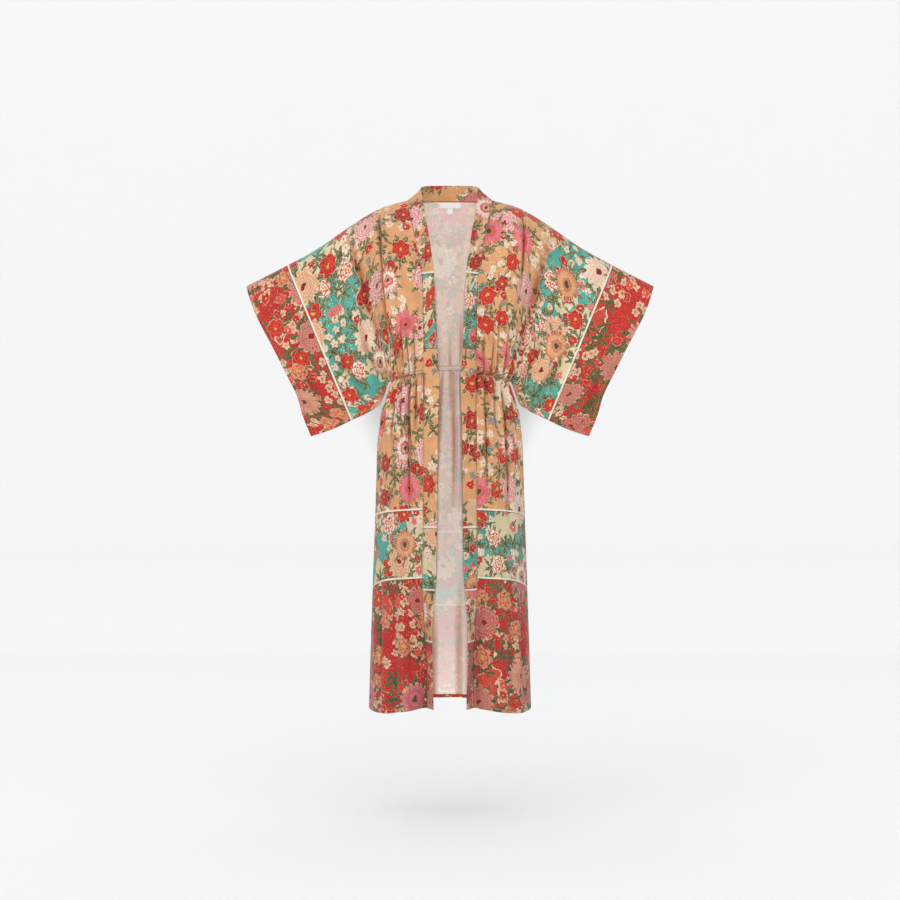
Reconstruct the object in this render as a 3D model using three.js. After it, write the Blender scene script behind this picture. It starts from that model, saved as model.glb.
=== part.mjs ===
import * as THREE from "three";

// A long open kimono robe of printed viscose, filled out as if worn, with nobody in it.
// Millimetres, +Z up. The front faces -Y, so the wearer's left is +X.
// The origin is the middle of the back neck seam.

// Driving dimensions
const WALL = 2; // the cloth as a wall, about its middle surface
const SEAM_GAP = 0.3; // clear space between two pieces that a seam joins
const SEAM_PLANE = -60; // y of the shoulder, underarm and side seams
const NECK_HALF = 104; // from the middle to the neck point, where the shoulder seam starts
const NECK_DEPTH = 60; // from the neck point back to the back neck seam
const NECK_POINT_Z = -4;
const NECK_SQUARENESS = 2.4; // power of the back neck curve: 2 is a plain oval
const BAND_WIDTH = 41; // the doubled band that edges the neck and both fronts
const BAND_JOIN_Z = -373; // where the neck band is joined to the front bands
const WAIST_HALF = 145; // half the width of the elasticated waist
const WAIST_FRONT = 95; // waist depth in front of the seam plane
const WAIST_BACK = 100; // waist depth behind the seam plane
const WAIST_EDGE_X = 65; // from the middle to the band seam at the waist
const WAIST_SIDE_Z = -450;
const WAIST_FRONT_RISE = 20; // how much higher the waist seam lies in front than at the side
const WAIST_BACK_RISE = 38; // and at the back
const NECKLINE_REACH = 0.7; // how far across the front the curve of its edge is felt
const CUFF_REACH = { from: 1.4, to: 2 }; // where across the sleeve the cuff's curve is felt
const GATHER_TURN = 120; // run over which a fold turns from the waist's way out to straight out
const SLEEVE_FOLD_AT = 0.35; // share of the sleeve's length where its folds are deepest
const RIDGE_FADE = 0.3; // share of the front, next to the side, where the flute dies away
const LABEL = { width: 55, height: 15, wall: 1, drop: 0.5 };
const TAB = { width: 15, height: 15 };

// Shoulder and sleeve top seam, from the neck point to the cuff.
const TOP_SEAM = [
  { x: 104, z: -4 },
  { x: 135, z: -12 },
  { x: 168, z: -23 },
  { x: 206, z: -43 },
  { x: 251, z: -72 },
  { x: 322, z: -121 },
  { x: 398, z: -163 },
  { x: 500, z: -215 },
];

// Underarm seam, from the waist out to the lower corner of the cuff.
const UNDERARM_SEAM = [
  { x: 145, z: -449.9 },
  { x: 149, z: -449.9 },
  { x: 153, z: -456 },
  { x: 160, z: -477 },
  { x: 171, z: -503 },
  { x: 185, z: -515 },
  { x: 205, z: -527 },
  { x: 241, z: -544 },
  { x: 290, z: -567 },
  { x: 342, z: -584 },
];

// Front edge of the bodice: how far the band seam lies from the middle at each height.
const NECKLINE = [
  { fall: 4, x: 104 },
  { fall: 49, x: 97 },
  { fall: 120, x: 82 },
  { fall: 175, x: 72 },
  { fall: 215, x: 67 },
  { fall: 374, x: 64 },
  { fall: 432, x: 65 },
];

// Sleeve opening edge: how far it stands outside a straight line, from top to bottom.
const CUFF_EDGE = [
  { down: 0, out: 0 },
  { down: 0.2, out: 5 },
  { down: 0.42, out: -2 },
  { down: 0.62, out: -7 },
  { down: 0.73, out: -9 },
  { down: 0.86, out: -2 },
  { down: 1, out: 0 },
];

// Lines of cloth down the bodice. across: 0 the middle edge, 1 the side, 2 the cuff.
// top and foot are x on the top seam and the underarm seam. swell is the depth that the
// cloth stands off the seam plane, fall the drop over which it rounds out to it.
// round: 1 for a full round at the top, 0 for a plain slope. draw: how late it draws in.
const FRONT_LINES = [
  { across: 0, top: 104, foot: 65, swell: 93, fall: 190, round: 0.3, draw: 3 },
  { across: 0.3, top: 132, foot: 100, swell: 100, fall: 165, round: 0.6, draw: 3 },
  { across: 0.6, top: 170, foot: 128, swell: 98, fall: 130, round: 0.9, draw: 2.4 },
  { across: 1, top: 232, foot: 145, swell: 74, fall: 80, round: 1, draw: 1.3 },
  { across: 1.15, top: 262, foot: 153, swell: 62, fall: 64, round: 1, draw: 1.35 },
  { across: 1.3, top: 300, foot: 171, swell: 52, fall: 54, round: 1, draw: 1.4 },
  { across: 1.5, top: 352, foot: 207, swell: 45, fall: 47, round: 1, draw: 1.5 },
  { across: 1.66, top: 398, foot: 243, swell: 41, fall: 44, round: 1, draw: 1.5 },
  { across: 1.83, top: 449, foot: 291, swell: 38, fall: 42, round: 1, draw: 1.5 },
  { across: 2, top: 500, foot: 342, swell: 36, fall: 40, round: 1, draw: 1.5 },
];
const BACK_LINES = [
  { across: 0, top: 0, foot: 0, swell: 106, fall: 190, round: 0, draw: 1.6 },
  { across: 0.3, top: 62, foot: 66, swell: 110, fall: 175, round: 0.05, draw: 1.8 },
  { across: 0.5, top: 104, foot: 103, swell: 108, fall: 150, round: 0.4, draw: 2 },
  { across: 0.75, top: 160, foot: 134, swell: 98, fall: 115, round: 0.85, draw: 1.8 },
  { across: 1, top: 232, foot: 145, swell: 74, fall: 78, round: 1, draw: 1.3 },
  { across: 1.15, top: 262, foot: 153, swell: 62, fall: 64, round: 1, draw: 1.35 },
  { across: 1.3, top: 300, foot: 171, swell: 52, fall: 54, round: 1, draw: 1.4 },
  { across: 1.5, top: 352, foot: 207, swell: 46, fall: 47, round: 1, draw: 1.5 },
  { across: 1.66, top: 398, foot: 243, swell: 42, fall: 44, round: 1, draw: 1.5 },
  { across: 1.83, top: 449, foot: 291, swell: 39, fall: 42, round: 1, draw: 1.5 },
  { across: 2, top: 500, foot: 342, swell: 37, fall: 40, round: 1, draw: 1.5 },
];

// Rings down the skirt. drop: 0 at the waist seam, 1 at the hem. half, front and back are
// the half width and the depths, edge the x of the band seam, roll how far the cloth turns
// back beside that seam, ridge how far the soft flute beside it stands out.
const SKIRT_RINGS = [
  { drop: 0, half: 145, front: 95, back: 100, edge: 65, roll: 0, ridge: 0 },
  { drop: 0.025, half: 151, front: 97, back: 103, edge: 65, roll: 0, ridge: 0 },
  { drop: 0.068, half: 161, front: 101, back: 110, edge: 65, roll: 0, ridge: 0 },
  { drop: 0.13, half: 171, front: 105, back: 117, edge: 65, roll: 0, ridge: 1 },
  { drop: 0.19, half: 178, front: 107, back: 120, edge: 65, roll: 0, ridge: 2 },
  { drop: 0.3, half: 181, front: 110, back: 121, edge: 65, roll: 0, ridge: 3 },
  { drop: 0.42, half: 184, front: 112, back: 121, edge: 65, roll: 1, ridge: 5 },
  { drop: 0.56, half: 188, front: 114, back: 122, edge: 66.5, roll: 3, ridge: 7 },
  { drop: 0.64, half: 190, front: 116, back: 122, edge: 66, roll: 9, ridge: 9 },
  { drop: 0.75, half: 193, front: 119, back: 123, edge: 62, roll: 25, ridge: 11 },
  { drop: 0.87, half: 196, front: 122, back: 124, edge: 56.5, roll: 34, ridge: 13 },
  { drop: 1, half: 199, front: 125, back: 125, edge: 57.5, roll: 37, ridge: 15 },
];
const ROLL_REACH = 0.2; // share of the front that turns back beside the band
const RIDGE = { across: 0.45, width: 0.26 };

// Height of the hem, from the band seam or the middle back to the side.
const FRONT_HEM = [
  { across: 0, z: -1239 },
  { across: 0.2, z: -1244 },
  { across: 0.5, z: -1252 },
  { across: 0.8, z: -1252 },
  { across: 1, z: -1248 },
];
const BACK_HEM = [
  { across: 0, z: -1244 },
  { across: 0.5, z: -1247 },
  { across: 1, z: -1248 },
];

// Folds that the elastic draws in. across is on the waist seam, width in the same measure;
// depth is in mm at the seam, up and down are how far the fold runs each way.
const FRONT_FOLDS = [
  { across: 0.07, width: 0.034, depth: 4.5, up: 75, down: 120 },
  { across: 0.2, width: 0.038, depth: 6, up: 150, down: 260 },
  { across: 0.33, width: 0.038, depth: 5.5, up: 90, down: 110 },
  { across: 0.46, width: 0.04, depth: 6.5, up: 200, down: 330 },
  { across: 0.6, width: 0.038, depth: 5, up: 110, down: 140 },
  { across: 0.75, width: 0.042, depth: 7, up: 290, down: 230 },
  { across: 0.9, width: 0.036, depth: 5, up: 120, down: 90 },
];
const BACK_FOLDS = [
  { across: 0.06, width: 0.03, depth: 5, up: 120, down: 160 },
  { across: 0.17, width: 0.03, depth: 5.5, up: 75, down: 240 },
  { across: 0.28, width: 0.032, depth: 5, up: 190, down: 120 },
  { across: 0.39, width: 0.03, depth: 6, up: 100, down: 300 },
  { across: 0.5, width: 0.032, depth: 5, up: 80, down: 100 },
  { across: 0.61, width: 0.032, depth: 6, up: 230, down: 200 },
  { across: 0.72, width: 0.03, depth: 5, up: 95, down: 130 },
  { across: 0.83, width: 0.032, depth: 5.5, up: 150, down: 180 },
  { across: 0.94, width: 0.026, depth: 4, up: 80, down: 80 },
];

// Soft folds that hang in the sleeve from the top seam towards the underarm seam.
const SLEEVE_FOLDS = [
  { across: 1.1, width: 0.07, depth: 9, up: 260 },
  { across: 1.4, width: 0.1, depth: 5, up: 320 },
  { across: 1.74, width: 0.1, depth: 4, up: 260 },
];

// Which way the band runs from its seam, by the distance along that seam from the nape:
// x round the neck, then NECK_HALF less z down the front.
const BAND_RUN = [
  { along: 0, inward: 0, forward: 0.08, up: 1 },
  { along: 50, inward: 0.1, forward: 0.18, up: 0.98 },
  { along: 88, inward: 0.44, forward: 0.2, up: 0.87 },
  { along: 108, inward: 0.78, forward: 0.1, up: 0.62 },
  { along: 153, inward: 0.8, forward: 0.36, up: 0.47 },
  { along: 224, inward: 0.76, forward: 0.57, up: 0.3 },
  { along: 319, inward: 0.7, forward: 0.69, up: 0.15 },
  { along: 478, inward: 0.8, forward: 0.6, up: 0 },
  { along: 536, inward: 0.88, forward: 0.47, up: 0 },
  { along: 878, inward: 0.82, forward: 0.57, up: 0 },
  { along: 1026, inward: 0.8, forward: 0.6, up: 0 },
  { along: 1060, inward: 0.71, forward: 0.7, up: 0 },
  { along: 1151, inward: 0.44, forward: 0.9, up: 0 },
  { along: 1242, inward: 0.33, forward: 0.94, up: 0 },
  { along: 1345, inward: 0.43, forward: 0.9, up: 0 },
];

// Grid density
const TOP_ROUND_STEPS = 3; // rows in the round at the top seam
const BODICE_ROWS = [0.14, 0.28, 0.42, 0.54, 0.65, 0.76, 0.86, 0.94, 1]; // below the round
const SLEEVE_COLUMNS = [1.05, 1.11, 1.2, 1.3, 1.4, 1.5, 1.6, 1.74, 1.87, 2];
const SKIRT_ROWS = [0, 0.02, 0.05, 0.09, 0.14, 0.21, 0.3, 0.4, 0.52, 0.64, 0.76, 0.88, 1];
const BETWEEN_FOLDS = 2; // columns between one gather and the next
const BAND_COLUMNS = [0, 0.33, 0.67, 1];

// Colours of the cloth's main grounds and of the bare label
const CLOTH = {
  orange: { color: 0xe3a56c, roughness: 0.78, metalness: 0 },
  red: { color: 0xd0463a, roughness: 0.78, metalness: 0 },
  band: { color: 0xe0a878, roughness: 0.78, metalness: 0 },
  label: { color: 0xf1ede6, roughness: 0.55, metalness: 0 },
};

// A smooth curve through one column of a table, read at a place in another column.
function curve(table, place, column) {
  const last = table.length - 1;
  const slope = (i) => {
    const before = table[Math.max(i - 1, 0)];
    const after = table[Math.min(i + 1, last)];
    return (after[column] - before[column]) / (after[place] - before[place]);
  };
  return (at) => {
    let i = 0;
    while (i < last - 1 && at > table[i + 1][place]) {
      i += 1;
    }
    const step = table[i + 1][place] - table[i][place];
    const t = THREE.MathUtils.clamp((at - table[i][place]) / step, 0, 1);
    const ease = t * t * (3 - 2 * t);
    const start = table[i][column] * (1 - ease) + table[i + 1][column] * ease;
    const lean = slope(i) * t * (1 - t) * (1 - t) - slope(i + 1) * t * t * (1 - t);
    return start + lean * step;
  };
}

// All columns of a table as curves over one of them.
function curves(table, place) {
  const found = {};
  for (const column of Object.keys(table[0])) {
    found[column] = curve(table, place, column);
  }
  return found;
}

const topSeamZ = curve(TOP_SEAM, "x", "z");
const underarmZ = curve(UNDERARM_SEAM, "x", "z");
const necklineX = curve(NECKLINE, "fall", "x");
const cuffOut = curve(CUFF_EDGE, "down", "out");
const skirt = curves(SKIRT_RINGS, "drop");
const bandRun = curves(BAND_RUN, "along");

// The two faces of the robe: which way each one stands off the seam plane, and its tables.
const FRONT = {
  way: -1,
  lines: curves(FRONT_LINES, "across"),
  folds: FRONT_FOLDS,
  waistDepth: WAIST_FRONT,
  waistRise: WAIST_FRONT_RISE,
  hem: curve(FRONT_HEM, "across", "z"),
  depth: skirt.front,
};
const BACK = {
  way: 1,
  lines: curves(BACK_LINES, "across"),
  folds: BACK_FOLDS,
  waistDepth: WAIST_BACK,
  waistRise: WAIST_BACK_RISE,
  hem: curve(BACK_HEM, "across", "z"),
  depth: skirt.back,
};

const bell = (offset, width) => Math.exp(-((offset / width) ** 2));

// How far the folds draw the cloth in at a place, run mm from the waist or underarm seam.
function foldDepth(folds, across, run, reach) {
  let depth = 0;
  for (const fold of folds) {
    depth += fold.depth * bell(across - fold.across, fold.width) * bell(run, fold[reach]);
  }
  return depth;
}

// Angle round an oval ring, from its front or back middle, at a share of the way to the side.
function ringAngle(face, across, half, edge) {
  const start = face === FRONT ? Math.asin(edge / half) : 0;
  return start + (Math.PI / 2 - start) * across;
}

// The waist seam as a ring: its point, and the way that points out of it.
function waistPlace(face, across) {
  const angle = ringAngle(face, Math.min(across, 1), WAIST_HALF, WAIST_EDGE_X);
  const depth = face.waistDepth * Math.cos(angle);
  return {
    x: WAIST_HALF * Math.sin(angle),
    depth,
    z: WAIST_SIDE_Z + face.waistRise * Math.cos(angle),
    out: new THREE.Vector3(Math.sin(angle), face.way * Math.cos(angle), 0),
  };
}

// The top edge of a bodice panel: the back neck seam, then the shoulder and sleeve top seam.
function topPlace(face, across) {
  const x = face.lines.top(across);
  if (face === BACK && x < NECK_HALF) {
    const share = x / NECK_HALF;
    return { x, depth: NECK_DEPTH * Math.sqrt(1 - share ** NECK_SQUARENESS), z: NECK_POINT_Z * share ** 2 };
  }
  return { x, depth: SEAM_GAP / 2, z: topSeamZ(x) };
}

// The distances down one line of the bodice at which it has a point.
function lineDrops(fall, length) {
  const drops = [];
  for (let i = 0; i <= TOP_ROUND_STEPS; i += 1) {
    drops.push(fall * (1 - Math.cos((Math.PI / 2) * (i / TOP_ROUND_STEPS))));
  }
  for (const share of BODICE_ROWS) {
    drops.push(fall + (length - fall) * share);
  }
  return drops;
}

// One line of cloth down a bodice panel, from the top seam to the waist or underarm seam.
function bodiceLine(face, across) {
  const line = face.lines;
  const top = topPlace(face, across);
  const waist = waistPlace(face, across);
  const onBody = across <= 1;
  const footX = onBody ? waist.x : line.foot(across);
  const footZ = onBody ? waist.z + SEAM_GAP / 2 : underarmZ(footX);
  const layer = (SEAM_GAP + WALL) / 2;
  const footDepth = onBody ? Math.max(waist.depth, SEAM_GAP / 2) : layer;
  const length = Math.hypot(footX - top.x, footZ - top.z);
  const fall = line.fall(across);

  return lineDrops(fall, length).map((drop) => {
    const share = drop / length;
    const z = top.z + (footZ - top.z) * share;
    let x = top.x + (footX - top.x) * share;
    if (face === FRONT) {
      const bend = necklineX(-z) - (NECK_HALF + (WAIST_EDGE_X - NECK_HALF) * share);
      x += bend * Math.max(0, 1 - across / NECKLINE_REACH) ** 2;
    }
    const towardsCuff = (across - CUFF_REACH.from) / (CUFF_REACH.to - CUFF_REACH.from);
    x += cuffOut(share) * Math.max(0, towardsCuff) ** 2;

    const s = Math.min(1, drop / fall);
    const slope = Math.sin((Math.PI / 2) * s);
    const arc = Math.sqrt(Math.max(0, 1 - (1 - s) ** 2));
    const shape = slope + (arc - slope) * THREE.MathUtils.clamp(line.round(across), 0, 1);
    const after = Math.max(0, (drop - fall) / (length - fall));
    const swell = line.swell(across) + (footDepth - line.swell(across)) * after ** line.draw(across);
    let depth = top.depth + (swell - top.depth) * shape;

    const run = length - drop;
    const gather = foldDepth(face.folds, across, run, "up") * Math.min(1, shape);
    const fromDeepest = run - length * SLEEVE_FOLD_AT;
    const hang = foldDepth(SLEEVE_FOLDS, across, fromDeepest, "up") * shape * (1 - after);
    const turn = THREE.MathUtils.clamp(run / GATHER_TURN, 0, 1);
    const out = waist.out.clone().multiplyScalar(1 - turn);
    out.y += face.way * turn;
    x -= out.x * gather;
    depth -= Math.abs(out.y) * gather + hang;
    if (across > 1) {
      depth = Math.max(depth, drop > fall ? layer : SEAM_GAP / 2);
    }
    return new THREE.Vector3(x, SEAM_PLANE + face.way * depth, z);
  });
}

// One line of cloth down a skirt panel, from the waist seam to the hem.
function skirtLine(face, across) {
  const waist = waistPlace(face, across);
  const topZ = waist.z - SEAM_GAP / 2;
  const hemZ = face.hem(across);
  return SKIRT_ROWS.map((drop) => {
    const angle = ringAngle(face, across, skirt.half(drop), skirt.edge(drop));
    const out = new THREE.Vector3(Math.sin(angle), face.way * Math.cos(angle), 0);
    const z = topZ + (hemZ - topZ) * drop;
    const point = new THREE.Vector3(
      skirt.half(drop) * Math.sin(angle),
      SEAM_PLANE + face.way * face.depth(drop) * Math.cos(angle),
      z,
    );
    point.addScaledVector(out, -foldDepth(face.folds, across, topZ - z, "down"));
    if (face === FRONT) {
      const roll = Math.max(0, 1 - across / ROLL_REACH);
      const ridge = skirt.ridge(drop) * bell(across - RIDGE.across, RIDGE.width);
      point.y += skirt.roll(drop) * roll * roll * (3 - 2 * roll);
      point.y -= ridge * Math.min(1, (1 - across) / RIDGE_FADE);
    }
    const seamY = SEAM_PLANE + (face.way * SEAM_GAP) / 2;
    point.y = face.way * Math.max(face.way * point.y, face.way * seamY);
    return point;
  });
}

// Places across a panel from its middle edge to the side: each gather, and some between.
function gatherColumns(folds) {
  const places = [0, ...folds.map((fold) => fold.across), 1];
  const columns = [];
  for (let i = 0; i < places.length - 1; i += 1) {
    const atEnd = i === 0 || i === places.length - 2;
    const steps = atEnd ? BETWEEN_FOLDS : BETWEEN_FOLDS + 1;
    for (let k = 0; k < steps; k += 1) {
      columns.push(places[i] + ((places[i + 1] - places[i]) * k) / steps);
    }
  }
  columns.push(1);
  return columns;
}

// Lines of cloth turned into rows of points, and rows seen in a mirror.
const rowsOf = (lines) => lines[0].map((_, r) => lines.map((line) => line[r]));
const mirrored = (rows) =>
  rows.map((row) => row.map((p) => new THREE.Vector3(-p.x, p.y, p.z)).reverse());
const wholeBack = (half) =>
  half.map((row) => [
    ...[...row].reverse().map((p) => p.clone()),
    ...row.slice(1).map((p) => new THREE.Vector3(-p.x, p.y, p.z)),
  ]);

// The way out of the cloth at each point of a grid of rows.
function gridNormals(rows) {
  const last = rows.length - 1;
  return rows.map((row, r) =>
    row.map((_, c) => {
      const across = row[Math.min(c + 1, row.length - 1)].clone().sub(row[Math.max(c - 1, 0)]);
      const down = rows[Math.min(r + 1, last)][c].clone().sub(rows[Math.max(r - 1, 0)][c]);
      return down.cross(across).normalize();
    }),
  );
}

// Makes a normal lie square to an axis, so that the edge there faces straight along it.
function square(normal, axis) {
  normal[axis] = 0;
  normal.normalize();
}

// A closed wall about a grid of points. keep may move a corner of the wall to a clear place.
function clothWall(rows, normals, wall, keep = (p) => p) {
  const count = rows[0].length;
  const positions = [];
  for (const side of [0.5, -0.5]) {
    rows.forEach((row, r) => {
      row.forEach((point, c) => {
        const corner = point.clone().addScaledVector(normals[r][c], wall * side);
        positions.push(...keep(corner).toArray());
      });
    });
  }
  const inner = rows.length * count;
  const corner = (i) => new THREE.Vector3().fromArray(positions, 3 * i);
  const apart = (i, j) => corner(i).distanceTo(corner(j));
  const index = [];
  // Two triangles on four corners, parted along the shorter way across.
  const quad = (a, b, c, d) => {
    const parts = apart(a, c) < apart(b, d) ? [a, b, c, a, c, d] : [a, b, d, b, c, d];
    index.push(...parts);
    return parts;
  };
  const at = (r, c) => r * count + c;
  const low = rows.length - 1;
  for (let r = 0; r < low; r += 1) {
    for (let c = 0; c < count - 1; c += 1) {
      const outer = quad(at(r, c), at(r + 1, c), at(r + 1, c + 1), at(r, c + 1));
      index.push(...outer.map((i) => i + inner).reverse());
    }
  }
  const rim = [];
  for (let c = 0; c < count - 1; c += 1) {
    rim.push([at(0, c + 1), at(0, c)]);
    rim.push([at(low, c), at(low, c + 1)]);
  }
  for (let r = 0; r < low; r += 1) {
    rim.push([at(r, 0), at(r + 1, 0)]);
    rim.push([at(r + 1, count - 1), at(r, count - 1)]);
  }
  for (const [a, b] of rim) {
    quad(a, a + inner, b + inner, b);
  }
  const geometry = new THREE.BufferGeometry();
  geometry.setAttribute("position", new THREE.Float32BufferAttribute(positions, 3));
  geometry.setIndex(index);
  geometry.computeVertexNormals();
  return geometry;
}

// Keeps a panel on its own side of the seam plane.
const keepOnSide = (face) => (p) => {
  const limit = SEAM_PLANE + (face.way * SEAM_GAP) / 2;
  p.y = face.way * Math.max(face.way * p.y, face.way * limit);
  return p;
};

const robe = new THREE.Group();

function sew(name, geometry, finish) {
  const mesh = new THREE.Mesh(geometry, new THREE.MeshStandardMaterial(finish));
  mesh.name = name;
  robe.add(mesh);
}

// Bodice panels: the back with the backs of both sleeves, and each front with its sleeve front
const frontColumns = [...gatherColumns(FRONT_FOLDS), ...SLEEVE_COLUMNS];
const frontRows = rowsOf(frontColumns.map((across) => bodiceLine(FRONT, across)));
const frontNormals = gridNormals(frontRows);
const backColumns = [...gatherColumns(BACK_FOLDS), ...SLEEVE_COLUMNS];
const backRows = wholeBack(rowsOf(backColumns.map((across) => bodiceLine(BACK, across))));
const backNormals = gridNormals(backRows);

// Edges at the top seam face along Y and edges at the waist seam face along Z.
const lowRow = frontRows.length - 1;
const atWaist = (point) => point.z > WAIST_SIDE_Z - 1;
frontNormals[0].forEach((normal) => square(normal, "y"));
backNormals[0].forEach((normal, c) => {
  if (Math.abs(backRows[0][c].x) > NECK_HALF - 1) square(normal, "y");
});
frontNormals[lowRow].filter((_, c) => atWaist(frontRows[lowRow][c])).forEach((n) => square(n, "z"));
backNormals[lowRow].filter((_, c) => atWaist(backRows[lowRow][c])).forEach((n) => square(n, "z"));

// At the neck point front, back and band share one normal.
const neckPoint = backRows[0].findIndex((p) => Math.abs(p.x - NECK_HALF) < 1);
const shared = frontNormals[0][0].add(backNormals[0][neckPoint]).normalize();
backNormals[0][neckPoint].copy(shared);
backNormals[0][backRows[0].length - 1 - neckPoint].set(-shared.x, shared.y, shared.z);

const flipNormals = (normals) =>
  normals.map((row) => row.map((n) => new THREE.Vector3(-n.x, n.y, n.z)).reverse());
const frontSide = keepOnSide(FRONT);
sew("bodice_front_left", clothWall(frontRows, frontNormals, WALL, frontSide), CLOTH.orange);
sew(
  "bodice_front_right",
  clothWall(mirrored(frontRows), flipNormals(frontNormals), WALL, frontSide),
  CLOTH.orange,
);
sew("bodice_back", clothWall(backRows, backNormals, WALL, keepOnSide(BACK)), CLOTH.orange);

// Skirt panels
function skirtPanel(rows, face) {
  const normals = gridNormals(rows);
  normals[0].forEach((normal) => square(normal, "z"));
  for (const row of normals) {
    for (const normal of [row[0], row[row.length - 1]]) {
      if (Math.abs(normal.x) > Math.abs(normal.y)) square(normal, "y");
    }
  }
  return { rows, normals, geometry: clothWall(rows, normals, WALL, keepOnSide(face)) };
}
const skirtFrontRows = rowsOf(gatherColumns(FRONT_FOLDS).map((across) => skirtLine(FRONT, across)));
const skirtBackRows = rowsOf(gatherColumns(BACK_FOLDS).map((across) => skirtLine(BACK, across)));
const skirtFront = skirtPanel(skirtFrontRows, FRONT);
sew("skirt_front_left", skirtFront.geometry, CLOTH.red);
sew("skirt_front_right", skirtPanel(mirrored(skirtFrontRows), FRONT).geometry, CLOTH.red);
sew("skirt_back", skirtPanel(wholeBack(skirtBackRows), BACK).geometry, CLOTH.red);

// One band, laid along a run of edge points that each carry the panel's normal there.
// It starts clear of the panel and runs inward, forward and up as the table says.
function bandRows(edge) {
  return edge.map((place, i) => {
    const along = edge[Math.min(i + 1, edge.length - 1)].point
      .clone()
      .sub(edge[Math.max(i - 1, 0)].point)
      .normalize();
    const off = place.normal.clone().cross(along).normalize();
    const side = Math.sign(place.point.x);
    const run = new THREE.Vector3(
      -side * bandRun.inward(place.along),
      -bandRun.forward(place.along),
      bandRun.up(place.along),
    ).normalize();
    const start = place.point.clone().addScaledVector(off, SEAM_GAP);
    return BAND_COLUMNS.map((share) => start.clone().addScaledVector(run, BAND_WIDTH * share));
  });
}

function band(edge) {
  const rows = bandRows(edge);
  const normals = gridNormals(rows);
  edge.forEach((place, i) => {
    normals[i][0].copy(place.normal);
  });
  for (const row of [normals[0], normals[normals.length - 1]]) {
    row.forEach((normal) => square(normal, "z"));
  }
  return clothWall(rows, normals, WALL);
}

const place = (point, normal, along) => ({ point, normal, along });
const frontEdge = frontRows.map((row, r) =>
  place(row[0], frontNormals[r][0], NECK_HALF - row[0].z),
);
const skirtEdge = skirtFront.rows.map((row, r) =>
  place(row[0], skirtFront.normals[r][0], NECK_HALF - row[0].z),
);
const mirrorPlace = (p) => ({
  point: new THREE.Vector3(-p.point.x, p.point.y, p.point.z),
  normal: new THREE.Vector3(-p.normal.x, p.normal.y, p.normal.z),
  along: p.along,
});

// The row of the bodice where the band is joined, and the neck edge between the neck points
const joinRow = frontEdge.findIndex((p) => p.point.z <= BAND_JOIN_Z);
const neckEdge = backRows[0]
  .map((point, c) => place(point, backNormals[0][c], Math.abs(point.x)))
  .filter((p) => Math.abs(p.point.x) < NECK_HALF - 1);
const shifted = (p, dz) => place(p.point.clone().setZ(p.point.z + dz), p.normal, p.along);
const frontUpper = frontEdge.slice(0, joinRow + 1);
const upperEnd = [...frontUpper.slice(0, -1), shifted(frontUpper[joinRow], SEAM_GAP / 2)];
const lowerEdge = [
  shifted(frontEdge[joinRow], -SEAM_GAP / 2),
  ...frontEdge.slice(joinRow + 1, -1),
  ...skirtEdge,
];
const neckRun = [...[...upperEnd].reverse(), ...neckEdge, ...upperEnd.map(mirrorPlace)];
sew("neck_band", band(neckRun), CLOTH.band);
sew("front_band_right", band(lowerEdge.map(mirrorPlace)), CLOTH.band);
sew("front_band_left", band([...lowerEdge].reverse()), CLOTH.band);

// A patch on the inside of the back panel, made from the panel's points moved inwards
const middleColumn = (backRows[0].length - 1) / 2;
const middleDrops = [0];
for (let r = 1; r < backRows.length; r += 1) {
  const step = backRows[r][middleColumn].distanceTo(backRows[r - 1][middleColumn]);
  middleDrops.push(middleDrops[r - 1] + step);
}
function panelPoint(x, drop) {
  const c = backRows[0].findIndex((p) => p.x < x) - 1;
  const across = (backRows[0][c].x - x) / (backRows[0][c].x - backRows[0][c + 1].x);
  const r = middleDrops.findIndex((d) => d > drop) - 1;
  const down = (drop - middleDrops[r]) / (middleDrops[r + 1] - middleDrops[r]);
  const upper = backRows[r][c].clone().lerp(backRows[r][c + 1], across);
  const lower = backRows[r + 1][c].clone().lerp(backRows[r + 1][c + 1], across);
  return upper.lerp(lower, down);
}

function patch(width, from, to) {
  const bend = middleDrops[1];
  const drops = from < bend && bend < to ? [from, bend, to] : [from, to];
  const grid = drops.map((drop) =>
    [0.5, 0.25, 0, -0.25, -0.5].map((share) => panelPoint(width * share, drop)),
  );
  const normals = gridNormals(grid);
  const inset = (WALL + LABEL.wall) / 2 + SEAM_GAP;
  grid.forEach((row, r) => row.forEach((p, c) => p.addScaledVector(normals[r][c], -inset)));
  return clothWall(grid, normals, LABEL.wall);
}
const labelFoot = LABEL.drop + LABEL.height;
sew("neck_label", patch(LABEL.width, LABEL.drop, labelFoot), CLOTH.label);
const tabTop = labelFoot + SEAM_GAP;
sew("size_tab", patch(TAB.width, tabTop, tabTop + TAB.height), CLOTH.label);

export default robe;
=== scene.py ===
import math

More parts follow.
